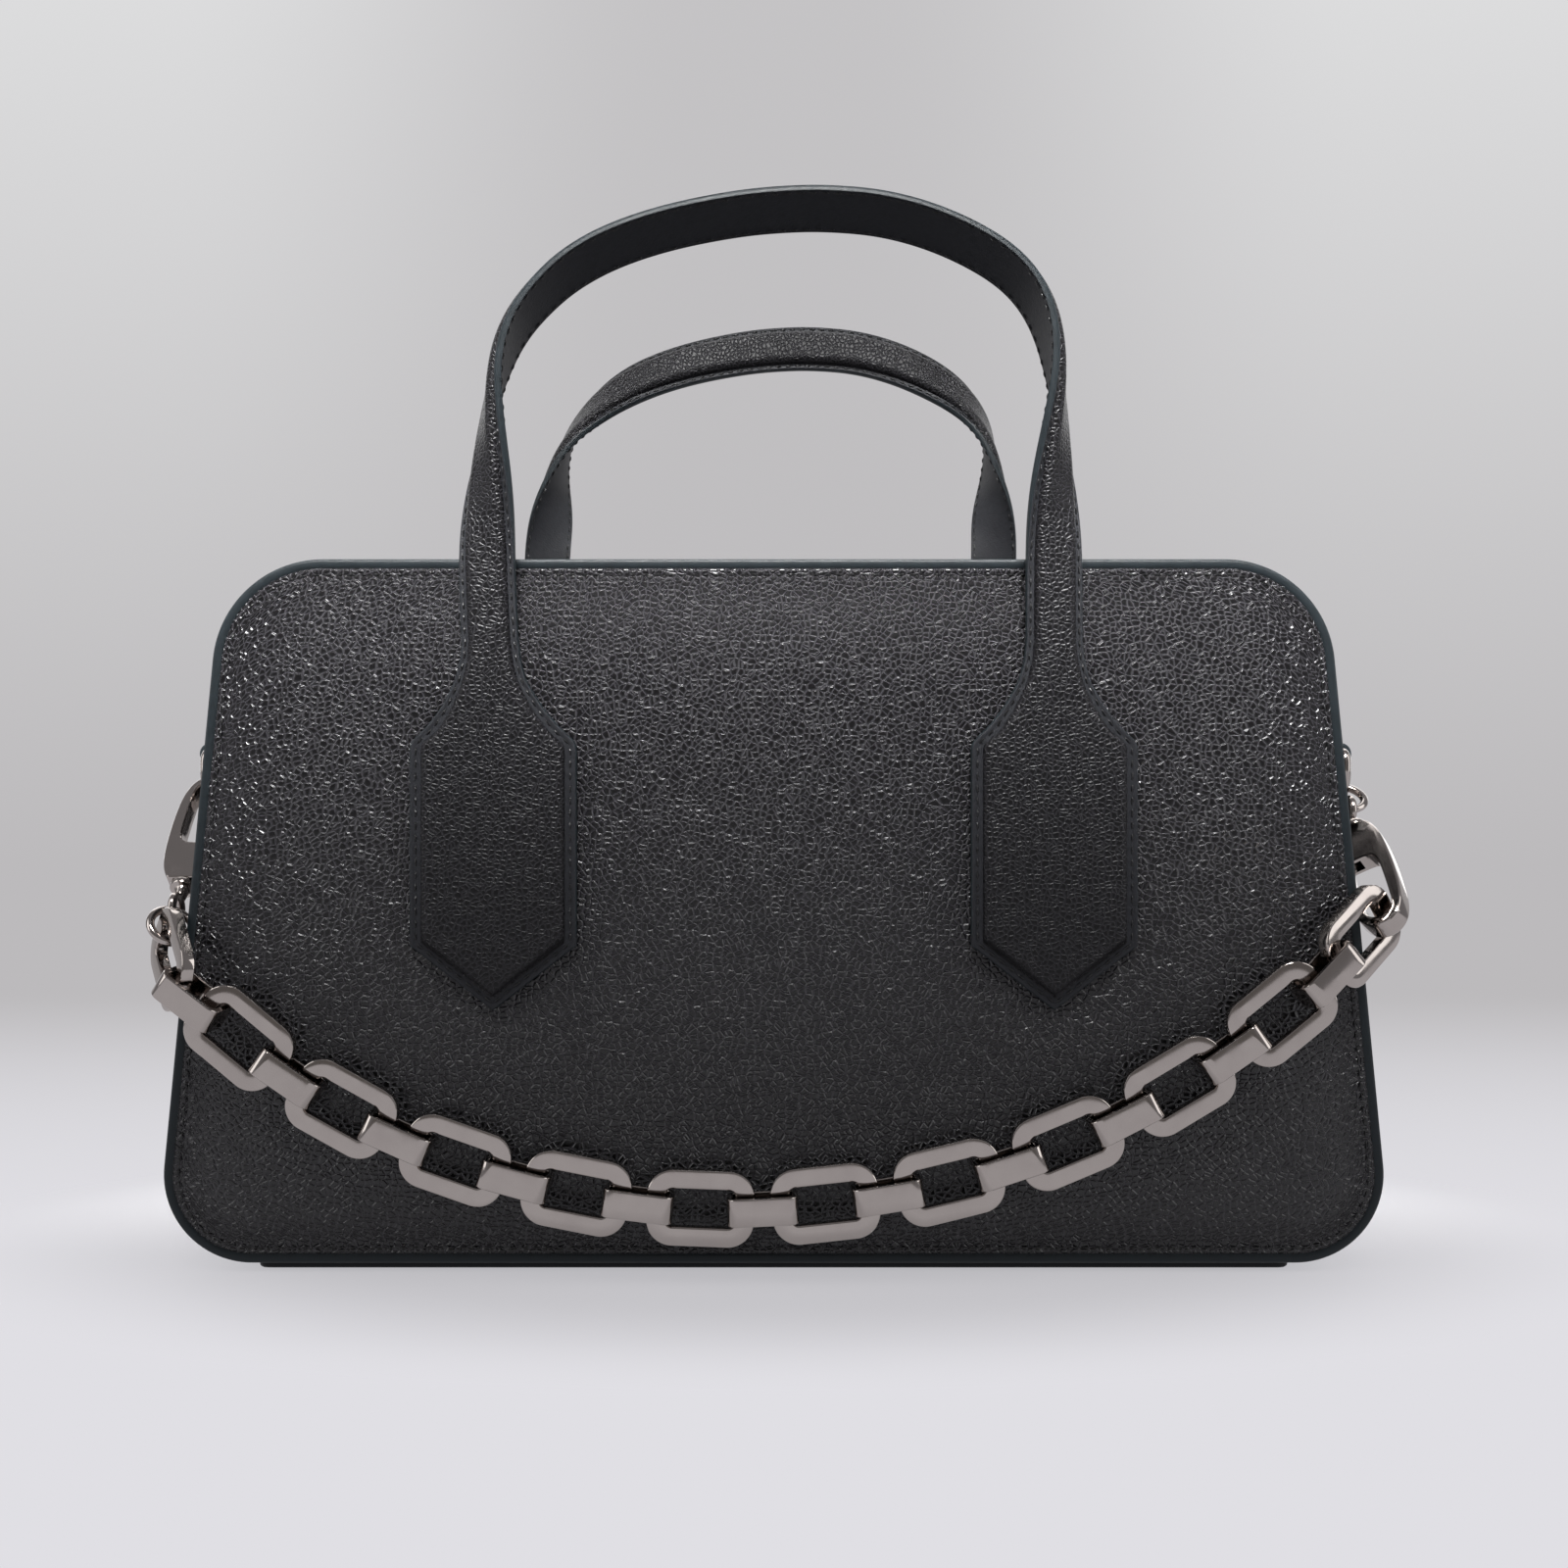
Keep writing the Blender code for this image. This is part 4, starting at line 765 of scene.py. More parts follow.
def stitched(name: str, rows: Sequence[Array], body: str | None) -> bpy.types.Object:
    """Makes one piece of thread from grids of stitches, each (stitches, rings, sides, 3)."""
    patches = [Patch(one, wrap_columns=True) for grid in rows for one in grid]
    return make_piece(name, patches, [THREAD], body)


# the bag's shell


@dataclass
class BagOutline:
    """The outline that the panels, the gusset and the top strips share, in X and Z."""

    lower_half: float = 167.9 * MM
    upper_half: float = 149.6 * MM
    low: float = 2.5 * MM
    top: float = 193.4 * MM
    lower_corner: float = 24.0 * MM
    upper_corner: float = 30.0 * MM

    def slope(self) -> float:
        """How much half width is lost for each metre of height."""
        return (self.lower_half - self.upper_half) / (self.top - self.low)

    def half_width(self, z: Array) -> Array:
        """Half width of the straight sides at a height."""
        return self.lower_half - self.slope() * (np.asarray(z) - self.low)

    def inside(self, x: Array, z: Array) -> Array:
        """Distance of points from the outline.

        It is the least distance to the three straight sides, and within a corner's reach it is the
        corner's radius less the distance to the corner's middle.

        Args:
            x: Places across.
            z: Heights.

        Returns:
            Distances, positive inside.
        """
        tilt = math.hypot(1.0, self.slope())
        x = np.abs(x)
        to_top, to_low = self.top - z, z - self.low
        to_side = (self.half_width(z) - x) / tilt
        out = np.minimum(np.minimum(to_top, to_low), to_side)
        for radius, middle_z, near in ((self.upper_corner, self.top - self.upper_corner, to_top),
                                       (self.lower_corner, self.low + self.lower_corner, to_low)):
            middle_x = self.half_width(middle_z) - radius * tilt
            arc = radius - np.hypot(x - middle_x, z - middle_z)
            out = np.where((near < radius) & (to_side < radius), np.minimum(out, arc), out)
        return out

    def loop(self, step: float) -> tuple[Array, Array]:
        """The outline's points and outward normals, from the top left corner down and round.

        Args:
            step: Longest distance between points.

        Returns:
            Points and normals, two numbers each.
        """
        corners = np.array([(-self.upper_half, self.top), (-self.lower_half, self.low),
                            (self.lower_half, self.low), (self.upper_half, self.top)])
        radii = (self.upper_corner, self.lower_corner, self.lower_corner, self.upper_corner)
        return rounded_polygon(corners, radii, step)

    def ring(self, across: int, up: int) -> tuple[Array, Array]:
        """The outline cut into four runs that meet at the middles of its corners.

        Args:
            across: Steps along the top and along the bottom.
            up: Steps along each side.

        Returns:
            Points and normals, from the top left down, along, up and back.
        """
        points, normals = self.loop(0.5 * MM)
        loop = np.vstack([points, points[:1]])
        around = np.vstack([normals, normals[:1]])
        run = along_line(loop)
        marks = []
        for sign_x, sign_z in ((-1, 1), (-1, -1), (1, -1), (1, 1)):
            marks.append(run[np.argmax(around @ np.array([sign_x, sign_z]))])
        marks = np.array(marks + [marks[0] + run[-1]])
        marks[1:4] += np.where(marks[1:4] < marks[0], run[-1], 0.0)
        at = [np.linspace(a, b, n + 1)[:-1]
              for a, b, n in zip(marks[:-1], marks[1:], (up, across, up, across))]
        at = np.mod(np.concatenate(at), run[-1])
        return sample(loop, at, loop), unit(sample(loop, at, around))


OUTLINE = BagOutline()


def spanned(ring: Array, across: int, up: int) -> Array:
    """Fills a ring with a grid: each point is the blend of its two pairs of facing edges.

    Args:
        ring: Points from the top left down, along, up and back.
        across: Steps along the top and the bottom.
        up: Steps along each side.

    Returns:
        A grid of points, rows from the bottom up.
    """
    loop = np.vstack([ring, ring[:1]])
    left = loop[:up + 1][::-1][:, None]
    low = loop[up:up + across + 1][None]
    right = loop[up + across:2 * up + across + 1][:, None]
    high = loop[2 * up + across:][::-1][None]
    u = np.linspace(0.0, 1.0, across + 1)[None, :, None]
    v = np.linspace(0.0, 1.0, up + 1)[:, None, None]
    corners = ((1 - u) * (1 - v) * low[:, :1] + u * (1 - v) * low[:, -1:]
               + (1 - u) * v * high[:, :1] + u * v * high[:, -1:])
    return (1 - v) * low + v * high + (1 - u) * left + u * right - corners


@dataclass
class Panel:
    """The front or the rear panel: a painted edge, a stitched border and a soft swell.

    The rows of the edge and the border are inset and height in mm. A wave is its place and its
    reach in X and Z, and its depth in mm.
    """

    side: Side
    back: float = 50.3 * MM
    leather: float = 2.0 * MM
    swell: float = 4.0 * MM
    border: float = 6.0 * MM
    stitch: float = 4.3 * MM
    across: int = 200
    up: int = 120
    edge_rows: Sequence[tuple[float, float]] = (
        (2.0, 0.0), (0.5, 0.0), (0.14, 0.12), (0.0, 0.45), (0.0, 1.10), (0.12, 1.50), (0.40, 1.76),
        (0.90, 1.90), (1.90, 1.88), (2.40, 1.74), (2.56, 1.62))
    border_rows: Sequence[tuple[float, float]] = (
        (2.66, 1.62), (2.80, 1.84), (3.05, 1.98), (3.50, 2.02), (3.90, 1.94), (4.30, 1.82),
        (4.75, 1.95), (5.30, 2.03))
    waves: Sequence[tuple[float, float, float, float, float]] = (
        (-0.112, 0.150, 0.016, 0.050, 0.9), (0.112, 0.150, 0.016, 0.050, 0.9),
        (0.0, 0.060, 0.070, 0.030, 0.5), (-0.120, 0.045, 0.030, 0.020, 0.5),
        (0.125, 0.040, 0.030, 0.022, 0.6))

    def height(self, x: Array, z: Array) -> Array:
        """Height of the leather over the panel's back plane, past the border.

        The swell rises with the distance from the outline as 1 - (1 - d / 30 mm) ^ 2.4, and more
        slowly below the top edge. Shallow waves of under 1 mm are added where the leather is slack.

        Args:
            x: Places across.
            z: Heights.

        Returns:
            Heights over the back plane.
        """
        d = OUTLINE.inside(x, z)
        rise = 1.0 - (1.0 - np.clip((d - 5.0 * MM) / (30.0 * MM), 0.0, 1.0)) ** 2.4
        drop = np.clip((OUTLINE.top - z - 5.0 * MM) / (54.0 * MM), 0.0, 1.0)
        lean = 0.30 + 0.70 * (1.0 - (1.0 - drop) ** 2.0)
        slack = np.zeros_like(d)
        for at_x, at_z, wide, tall, depth in self.waves:
            slack += depth * MM * np.exp(-((x - at_x) / wide) ** 2 - ((z - at_z) / tall) ** 2)
        return self.leather + self.swell * rise * lean - slack * ease((d - 5.0 * MM) / (20.0 * MM))

    def build(self) -> bpy.types.Object:
        """Makes the panel: a ring of rows for its edge and border, and a filled middle."""
        ring, normal = OUTLINE.ring(self.across, self.up)
        rows = []
        for inset, out in (*self.edge_rows, *self.border_rows):
            flat = ring - normal * inset * MM
            rows.append(lay(flat[:, 0], out * MM, flat[:, 1]))
        flat = ring - normal * self.border
        inner = lay(flat[:, 0], self.height(flat[:, 0], flat[:, 1]), flat[:, 1])
        under = inner * (1.0, 0.0, 1.0)
        grid = np.stack([under] + rows + [inner])
        slots = np.zeros((len(grid) - 1, 1), dtype=int)
        slots[2:len(self.edge_rows)] = 1
        middle = spanned(flat, self.across, self.up)
        x, z = middle[..., 0], middle[..., 1]
        high = self.height(x, z)
        low = np.maximum(high - 1.8 * MM, 0.0)
        low[[0, -1]] = low[:, [0, -1]] = 0.0
        patches = [Patch(grid, wrap_columns=True, slots=slots), Patch(lay(x, high, z)),
                   Patch(lay(x, low, z), slots=2)]
        for patch in patches:
            patch.points = self.placed(patch.points)
        name = self.side.tag + "_panel"
        return make_piece(name + "_leather", patches, [CALF, PAINT, FINE], "bag",
                          [name])

    def placed(self, points: Array) -> Array:
        """Points whose Y is a height over the panel's back, in the bag's frame."""
        return lay(points[..., 0], self.side.value * (self.back + points[..., 1]), points[..., 2])

    def seam(self) -> bpy.types.Object:
        """Sews the border to the gusset all round."""
        ring, normal = OUTLINE.ring(self.across, self.up)
        flat = ring - normal * self.stitch
        line = self.placed(lay(flat[:, 0], 1.84 * MM, flat[:, 1]))
        row = Stitching().row(line, (0.0, self.side.value, 0.0), closed=True)
        return stitched(self.side.tag + "_panel_seam", [row], "bag")


@dataclass
class Gusset:
    """The band down both sides and under the bag, its turned-out edges, the top strips and base."""

    half_depth: float = 50.0 * MM
    leather: float = 1.6 * MM
    seam_depth: float = 3.4 * MM
    bulge: float = 4.0 * MM
    side_share: float = 0.2
    strip_half: float = 118.0 * MM
    zip_half: float = 8.5 * MM
    base_half_length: float = 141.5 * MM
    base_half_depth: float = 47.8 * MM
    base_thickness: float = 5.4 * MM
    base_spine: float = 48.0 * MM
    seam_inset: float = 2.2 * MM

    def web(self, y: Array, share: Array) -> Array:
        """The band's height over the outline: a bulge of 1 - (y / half) ^ 2 less the seam."""
        return -self.seam_depth + self.bulge * share * (1.0 - (y / self.half_depth) ** 2)

    def flange(self, side: float) -> Array:
        """The turned-out edge on one side, from its foot at the panel over its top to the web."""
        points = np.array([(50.0, -5.0), (50.0, -1.0), (49.86, -0.62), (49.55, -0.44),
                           (48.85, -0.44), (48.54, -0.62), (48.4, -1.0), (48.4, -2.5),
                           (48.22, -3.02), (47.8, -3.24)]) * MM
        return points * (side, 1.0)

    def band(self) -> bpy.types.Object:
        """Makes the band: a channel section carried round the outline; its sides bulge less."""
        points, normals = OUTLINE.loop(2.0 * MM)
        start = np.argmax(normals[:, 1] < 0.9999)
        points, normals = np.roll(points, -start, 0), np.roll(normals, -start, 0)
        top = np.abs(points[:, 0]) < self.strip_half
        keep = ~(top & (points[:, 1] > OUTLINE.top - 1e-6))
        points, normals = points[keep], normals[keep]
        ends = np.array([(-self.strip_half, OUTLINE.top), (self.strip_half, OUTLINE.top)])
        points = np.vstack([ends[:1], points, ends[1:]])
        normals = np.vstack([[(0.0, 1.0)], normals, [(0.0, 1.0)]])
        upward = np.abs(normals[:, 1])
        share = self.side_share + (1.0 - self.side_share) * ease(upward) * (normals[:, 1] > 0.0)
        share = np.where(normals[:, 1] < 0.0, self.side_share * (1.0 - ease(upward)), share)
        path = lay(points[:, 0], 0.0, points[:, 1])
        out = lay(normals[:, 0], 0.0, normals[:, 1])
        y = np.linspace(-47.0, 47.0, 25) * MM
        web = self.web(y[None], share[:, None])
        outer = lay(y, web)
        inner = outer[:, ::-1] - (0.0, self.leather)
        front, rear = self.flange(-1.0), self.flange(1.0)[::-1]
        section = np.concatenate([np.broadcast_to(front, (len(path),) + front.shape), outer,
                                  np.broadcast_to(rear, (len(path),) + rear.shape), inner], axis=1)
        slots = np.zeros((1, section.shape[1]), dtype=int)
        slots[:, 1:6] = slots[:, -len(y) - 7:-len(y) - 2] = 1
        slots[:, -len(y):] = 2
        patch = sweep(path, ASIDE, out, section, False, slots)
        return make_piece("gusset_leather", [patch], [CALF, PAINT, FINE], "bag",
                          ["gusset_band"])

    def strip(self, side: Side) -> bpy.types.Object:
        """Makes the strip beside the zip, with its folded edge along the teeth.

        Args:
            side: The side of the zip that it lies on.

        Returns:
            The piece.
        """
        sign = side.value
        y = np.linspace(47.0 * MM, self.zip_half, 14)
        web = self.web(y, np.ones(14))
        outer = lay(y * sign, web)
        fold = np.array([(-0.25, -0.25), (-0.35, -0.8), (-0.25, -1.35)]) * MM
        fold = (fold + (self.zip_half + 0.35 * MM, web[-1])) * (sign, 1.0)
        section = np.concatenate([self.flange(sign), outer[:-1], fold,
                                  (outer - (0.0, self.leather))[::-1][1:]])
        x = np.linspace(-self.strip_half + 0.3 * MM, self.strip_half - 0.3 * MM, 120)
        slots = np.zeros((1, len(section)), dtype=int)
        slots[:, 1:6] = 1
        patch = sweep(lay(x, 0.0, OUTLINE.top), ASIDE, UP, section, False, slots)
        name = "top_strip_" + side.tag
        return make_piece(name + "_leather", [patch], [CALF, PAINT], "bag",
                          [name])

    def strip_seams(self) -> bpy.types.Object:
        """Sews the zip tapes under the strips, a little way from their folded edges."""
        rows = []
        x = np.linspace(-self.strip_half + 3.0 * MM, self.strip_half - 3.0 * MM, 60)
        for side in Side:
            y = self.zip_half + self.seam_inset
            height = OUTLINE.top + float(self.web(np.array(y), np.array(1.0)))
            rows.append(Stitching(pitch=3.0 * MM).row(lay(x, side.value * y, height), UP))
        return stitched("zip_seams", rows, "bag")

    def base(self) -> bpy.types.Object:
        """Makes the base panel: a smooth slab whose edge is rounded above and below."""
        points, normals = rounded_box(self.base_half_length, self.base_half_depth, 3.2 * MM,
                                      2.5 * MM)
        reach = self.base_half_length - self.base_spine
        spine = np.clip(points[:, 0], -reach, reach)
        rows = [lay(spine, 0.0, 0.0)]
        for inset, z in ((40.0, 0.0), (3.0, 0.0), (1.3, 0.0), (0.5, 0.12), (0.12, 0.5), (0.0, 1.0),
                         (0.0, 4.4), (0.12, 4.95), (0.5, 5.3), (1.3, 5.4), (3.0, 5.4), (40.0, 5.4)):
            flat = points - normals * inset * MM
            rows.append(lay(flat[:, 0], flat[:, 1], z * MM))
        rows.append(lay(spine, 0.0, self.base_thickness))
        patch = Patch(np.stack(rows), wrap_columns=True)
        return make_piece("base_leather", [patch], [FINE], "bag", ["base_panel"])

    def build(self) -> None:
        """Makes the band, the strips with their seams and the base."""
        self.band()
        for side in Side:
            self.strip(side)
        self.strip_seams()
        self.base()


# handles with their tabs


@dataclass
class Handle:
    """One handle: a padded strap that widens at both ends into a tab sewn to the panel.

    Each row of the surface has its own frame. A point lies `a` from the strap's edge and `h` over
    its back; h is the sewn edge's thickness plus a padded field that rises where a passes the
    border. In a tab the rows start as chevrons that follow its pointed end and then flatten.
    """

    side: Side
    twist: Sequence[tuple[float, float]]
    tab_x: float = 75.0 * MM
    tab_half: float = 22.2 * MM
    tip_z: float = 71.6 * MM
    low_z: float = 88.9 * MM
    shoulder_z: float = 143.1 * MM
    hinge_z: float = 168.0 * MM
    top_z: float = 286.7 * MM
    back: float = 56.6 * MM
    strap_half: float = 7.5 * MM
    edge: float = 2.0 * MM
    padding: tuple[float, float] = (1.8 * MM, 2.2 * MM)
    border: tuple[float, float] = (3.0 * MM, 1.9 * MM)
    shoulder: tuple[float, float] = (1.7 * MM, 2.3 * MM)
    stitch: tuple[float, float] = (1.6 * MM, 1.05 * MM)
    flange: int = 8
    dip: float = 0.16 * MM
    field_rows: int = 26
    field_reach: float = 46.0 * MM
    strap_count: int = 330
    ridge: float = 0.5 * MM
    bend_reach: float = 7.0 * MM
    border_steps: Sequence[float] = (0.0, 0.07, 0.16, 0.28, 0.40, 0.52, 0.66, 0.82, 1.0)
    shoulder_steps: Sequence[float] = (0.06, 0.16, 0.30, 0.48, 0.72, 1.0)
    path_shares: Sequence[tuple[float, float]] = (
        (-1.01, 0.00), (-1.02, 0.12), (-1.025, 0.23), (-1.025, 0.35), (-1.02, 0.44), (-1.01, 0.53),
        (-0.99, 0.62), (-0.96, 0.69), (-0.91, 0.75), (-0.84, 0.80), (-0.76, 0.85), (-0.63, 0.90),
        (-0.49, 0.935), (-0.35, 0.96), (-0.21, 0.978), (-0.07, 0.992), (0.14, 1.00), (0.35, 0.992),
        (0.49, 0.973), (0.63, 0.942), (0.77, 0.897), (0.85, 0.862), (0.915, 0.82), (0.965, 0.765),
        (0.995, 0.70), (1.01, 0.62), (1.013, 0.53), (1.01, 0.44), (1.005, 0.35), (1.00, 0.23),
        (1.00, 0.12), (1.00, 0.00))

    def half_width(self, z: Array) -> Array:
        """Half width of the tab's outline at a height: straight sides, then a hollow curve.

        Args:
            z: Heights.

        Returns:
            Half widths.
        """
        neck = self.strap_half + 0.1 * MM
        span = self.tab_half - neck
        rise = self.hinge_z - self.shoulder_z
        heights = self.shoulder_z + rise * np.array([0.0, 0.18, 0.40, 0.66, 0.90, 1.2])
        widths = neck + span * np.array([1.0, 0.67, 0.38, 0.13, 0.02, 0.0])
        fine = np.linspace(self.low_z, self.hinge_z, 400)
        smooth = relax(np.interp(fine, heights, widths), 60)
        return np.interp(z, fine, smooth)

    @staticmethod
    def between(end_share: Array, *sizes: tuple[float, float]) -> list[Array]:
        """Blends sizes, each a tab's and a strap's; the share is 0 on a tab and 1 on a strap."""
        return [tab + (strap - tab) * end_share for tab, strap in sizes]

    def layer(self, a: Array, end_share: Array) -> Array:
        """Height over the back at a distance from the edge.

        The sewn edge dips by exp(-x^2) at the stitches; the field rises as the root of
        1 - (1 - s)^2 across the shoulder, like the side of a soft cushion.

        Args:
            a: Distances from the edge.
            end_share: 0 on a tab and 1 on a strap.

        Returns:
            Heights.
        """
        border, shoulder, stitch, padding = self.between(end_share, self.border, self.shoulder,
                                                         self.stitch, self.padding)
        s = np.clip((a - border) / shoulder, 0.0, 1.0)
        field = padding * np.sqrt(1.0 - (1.0 - s) ** 2)
        dip = self.dip * np.exp(-((a - stitch) / (0.45 * MM)) ** 2)
        rounded = 0.35 * MM * (1.0 - np.clip(a / (0.40 * MM), 0.0, 1.0)) ** 2
        return self.edge - dip - rounded + field

    def columns(self, half: Array, end_share: Array) -> Array:
        """Distances of the columns from the strap's left edge, for rows of a given half width.

        Args:
            half: Half width of each row.
            end_share: 0 on a tab and 1 on a strap, for each row.

        Returns:
            One row of distances for each half width.
        """
        border, shoulder = self.between(end_share, self.border, self.shoulder)
        near = np.array(self.border_steps) * border[:, None]
        rise = border[:, None] + np.array(self.shoulder_steps) * shoulder[:, None]
        start = np.concatenate([near, rise], axis=1)
        share = np.linspace(0.0, 1.0, 11)[1:]
        field = start[:, -1:] + (half[:, None] - start[:, -1:]) * share
        left = np.concatenate([start, field], axis=1)
        return np.concatenate([left, 2.0 * half[:, None] - left[:, -2::-1]], axis=1)

    def tab_rows(self, end: End) -> tuple[Array, Array]:
        """Rows of one tab from its pointed end up to the hinge.

        Args:
            end: Which tab.

        Returns:
            Points on the back plane, and heights of the front over it.
        """
        slope = (self.low_z - self.tip_z) / self.tab_half
        upright = math.hypot(1.0, slope)
        near = np.array((0.0, *self.border_steps)) * self.border[0]
        rise = self.border[0] + np.array(self.shoulder_steps) * self.shoulder[0]
        start = np.concatenate([near, rise])
        z0 = self.tip_z + upright * start
        flat = self.tip_z + self.field_reach
        field = np.linspace(z0[-1], flat, self.field_rows)[1:]
        fall = slope * (1.0 - (field - z0[-1]) / (flat - z0[-1]))
        below = self.shoulder_z - 4.0 * MM
        upper = np.concatenate([np.linspace(flat, below, 16)[1:],
                                np.linspace(below, self.hinge_z, 58)[1:]])
        z0 = np.concatenate([z0, field, upper])
        slopes = np.concatenate([np.full(len(start), slope), fall, np.zeros(len(upper))])
        end_share = ease((z0 - self.shoulder_z) / (self.hinge_z - 4.0 * MM - self.shoulder_z))
        half = self.half_width(np.maximum(z0, self.low_z))
        lean = np.gradient(half, z0, edge_order=1)
        lean[:len(start) + self.field_rows] = 0.0
        lean = relax(lean, 3)
        a = self.columns(half, end_share)
        widen = np.where(a < half[:, None], a, 2.0 * half[:, None] - a)
        away = np.hypot(1.0, lean)[:, None]
        shift = widen * (away - 1.0) * np.clip(1.0 - widen / half[:, None], 0.0, 1.0)
        x = -half[:, None] + a + np.where(a < half[:, None], shift, -shift)
        z = z0[:, None] + slopes[:, None] * np.abs(x)
        b = np.maximum((z - self.tip_z - slope * np.abs(x)) / upright, 0.0)
        d = -self.ridge * np.log(np.exp(-widen / self.ridge) + np.exp(-b / self.ridge))
        height = self.layer(np.maximum(d, 0.0), end_share[:, None])
        height[0] *= 0.5
        drift = -0.75 * MM * end_share if end is End.LEFT else 0.0 * end_share
        x = end.value * self.tab_x + drift[:, None] + self.side.value * end.value * x
        return lay(x, self.side.value * self.back, z), height

    def strap_rows(self) -> tuple[Array, Array, Array]:
        """Rows of the strap between the hinges.

        Returns:
            Points on the back plane; heights of the front; and the rows' outward axes.
        """
        rise = self.top_z - self.hinge_z
        raw = np.array(self.path_shares) * (self.tab_x, rise)
        path = evened(raw, self.strap_count, 50)
        turn = relax(np.interp(path[:, 1] / rise, *np.array(self.twist).T), 60)
        angle = np.radians(turn)[:, None]
        line = lay(path[:, 0], 0.0, path[:, 1])
        ahead = unit(np.gradient(line, axis=0))
        outward = lay(-ahead[:, 2], 0.0, ahead[:, 0])
        face = np.array([0.0, self.side.value, 0.0])
        out = face * np.cos(angle) + outward * np.sin(angle)
        across = np.cross(ahead, out)
        middle = (self.edge + self.padding[1]) / 2.0
        centre = line + (0.0, self.side.value * (self.back + middle), self.hinge_z) - out * middle
        half = np.full(len(line), self.strap_half)
        a = self.columns(half, np.ones(len(line)))
        near = np.minimum(a, 2.0 * self.strap_half - a)
        height = self.layer(near, np.ones((len(line), 1)))
        points = centre[:, None] + across[:, None] * (a - self.strap_half)[..., None]
        return points[2:-2], height[2:-2], out[2:-2]

    def surface(self) -> tuple[Array, Array, Array]:
        """Joins tab, strap and tab.

        Returns:
            Points on the back, points on the front, and the rows' outward axes.
        """
        strap, strap_height, strap_out = self.strap_rows()
        left, left_height = self.tab_rows(End.LEFT)
        right, right_height = self.tab_rows(End.RIGHT)
        face = np.array([0.0, self.side.value, 0.0])
        back = np.concatenate([left, strap, right[::-1]])
        out = np.concatenate([np.broadcast_to(face, (len(left), 3)), strap_out,
                              np.broadcast_to(face, (len(right), 3))])
        height = np.concatenate([left_height, strap_height, right_height[::-1]])
        return back, back + out[:, None] * height[..., None], out

    def build(self) -> bpy.types.Object:
        """Makes the handle with its two tabs and bakes its placement."""
        back, front, _ = self.surface()
        for k in (0, -1):
            back[k] = front[k] = (back[k] + front[k]) / 2.0
        right = self.cut_side(back, front, -1)
        left = self.cut_side(back, front, 0)[:, ::-1]
        grid = np.concatenate([front, right, back[:, ::-1], left], axis=1)
        columns = front.shape[1]
        slots = np.zeros((len(grid) - 1, grid.shape[1]), dtype=int)
        slots[:, columns + 4:2 * columns + 2] = 2
        slots[:, columns - 2:columns + 4] = 1
        slots[:, 2 * columns + 2:] = 1
        slots[:, :1] = 1
        slots[:, 1:self.flange] = slots[:, columns - 1 - self.flange:columns - 2] = 2
        slots[:self.flange, :columns] = slots[-self.flange:, :columns] = 2
        slots[:2, :columns] = slots[-2:, :columns] = 1
        patch = Patch(grid, wrap_columns=True, slots=slots, middle=columns // 2)
        tag = self.side.tag
        piece = make_piece("handle_%s_leather" % tag, [patch], [STRAP_CALF, PAINT, FINE], None,
                           ["handle_" + tag, "handle_tab_%s_left" % tag,
                                               "handle_tab_%s_right" % tag])
        self.hinge(piece)
        return piece

    def cut_side(self, back: Array, front: Array, column: int) -> Array:
        """The painted cut edge at the first or last column, from the front down to the back.

        Args:
            back: Points on the back, rows by columns.
            front: Points on the front.
            column: 0 for the first column, or -1 for the last.

        Returns:
            Points, three for each row.
        """
        lift = (front - back)[:, column][:, None]
        solid = np.linalg.norm(lift, axis=2, keepdims=True) > 0.0
        outward = unit(back[:, -1] - back[:, 0])[:, None] * (1.0 if column else -1.0)
        shares = np.array([0.82, 0.5, 0.18])[None, :, None]
        bulges = np.array([0.10, 0.16, 0.10])[None, :, None] * MM
        return back[:, column][:, None] + lift * shares + outward * bulges * solid

    def hinge(self, piece: bpy.types.Object) -> None:
        """Bakes a piece's placement into its points; the piece is not bent.

        Args:
            piece: A piece of the handle.
        """
        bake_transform(piece)

    def seams(self) -> bpy.types.Object:
        """Sews both edges from tab to tab, and each tab's pointed end."""
        back, front, out = self.surface()
        rows = []
        low, tab = 6, len(self.tab_rows(End.LEFT)[0])
        for column in (5, front.shape[1] - 6):
            rows.append(Stitching().row(front[low:-low, column], out[low:-low]))
            rows.append(Stitching().row(back[tab:-tab, column], -out[tab:-tab]))
        for k in (low, len(front) - 1 - low):
            rows.append(Stitching().row(front[k, 5:front.shape[1] - 5], out[k]))
        piece = stitched("handle_%s_seams" % self.side.tag, rows, None)
        self.hinge(piece)
        return piece


# zip, side loops, rings and chain


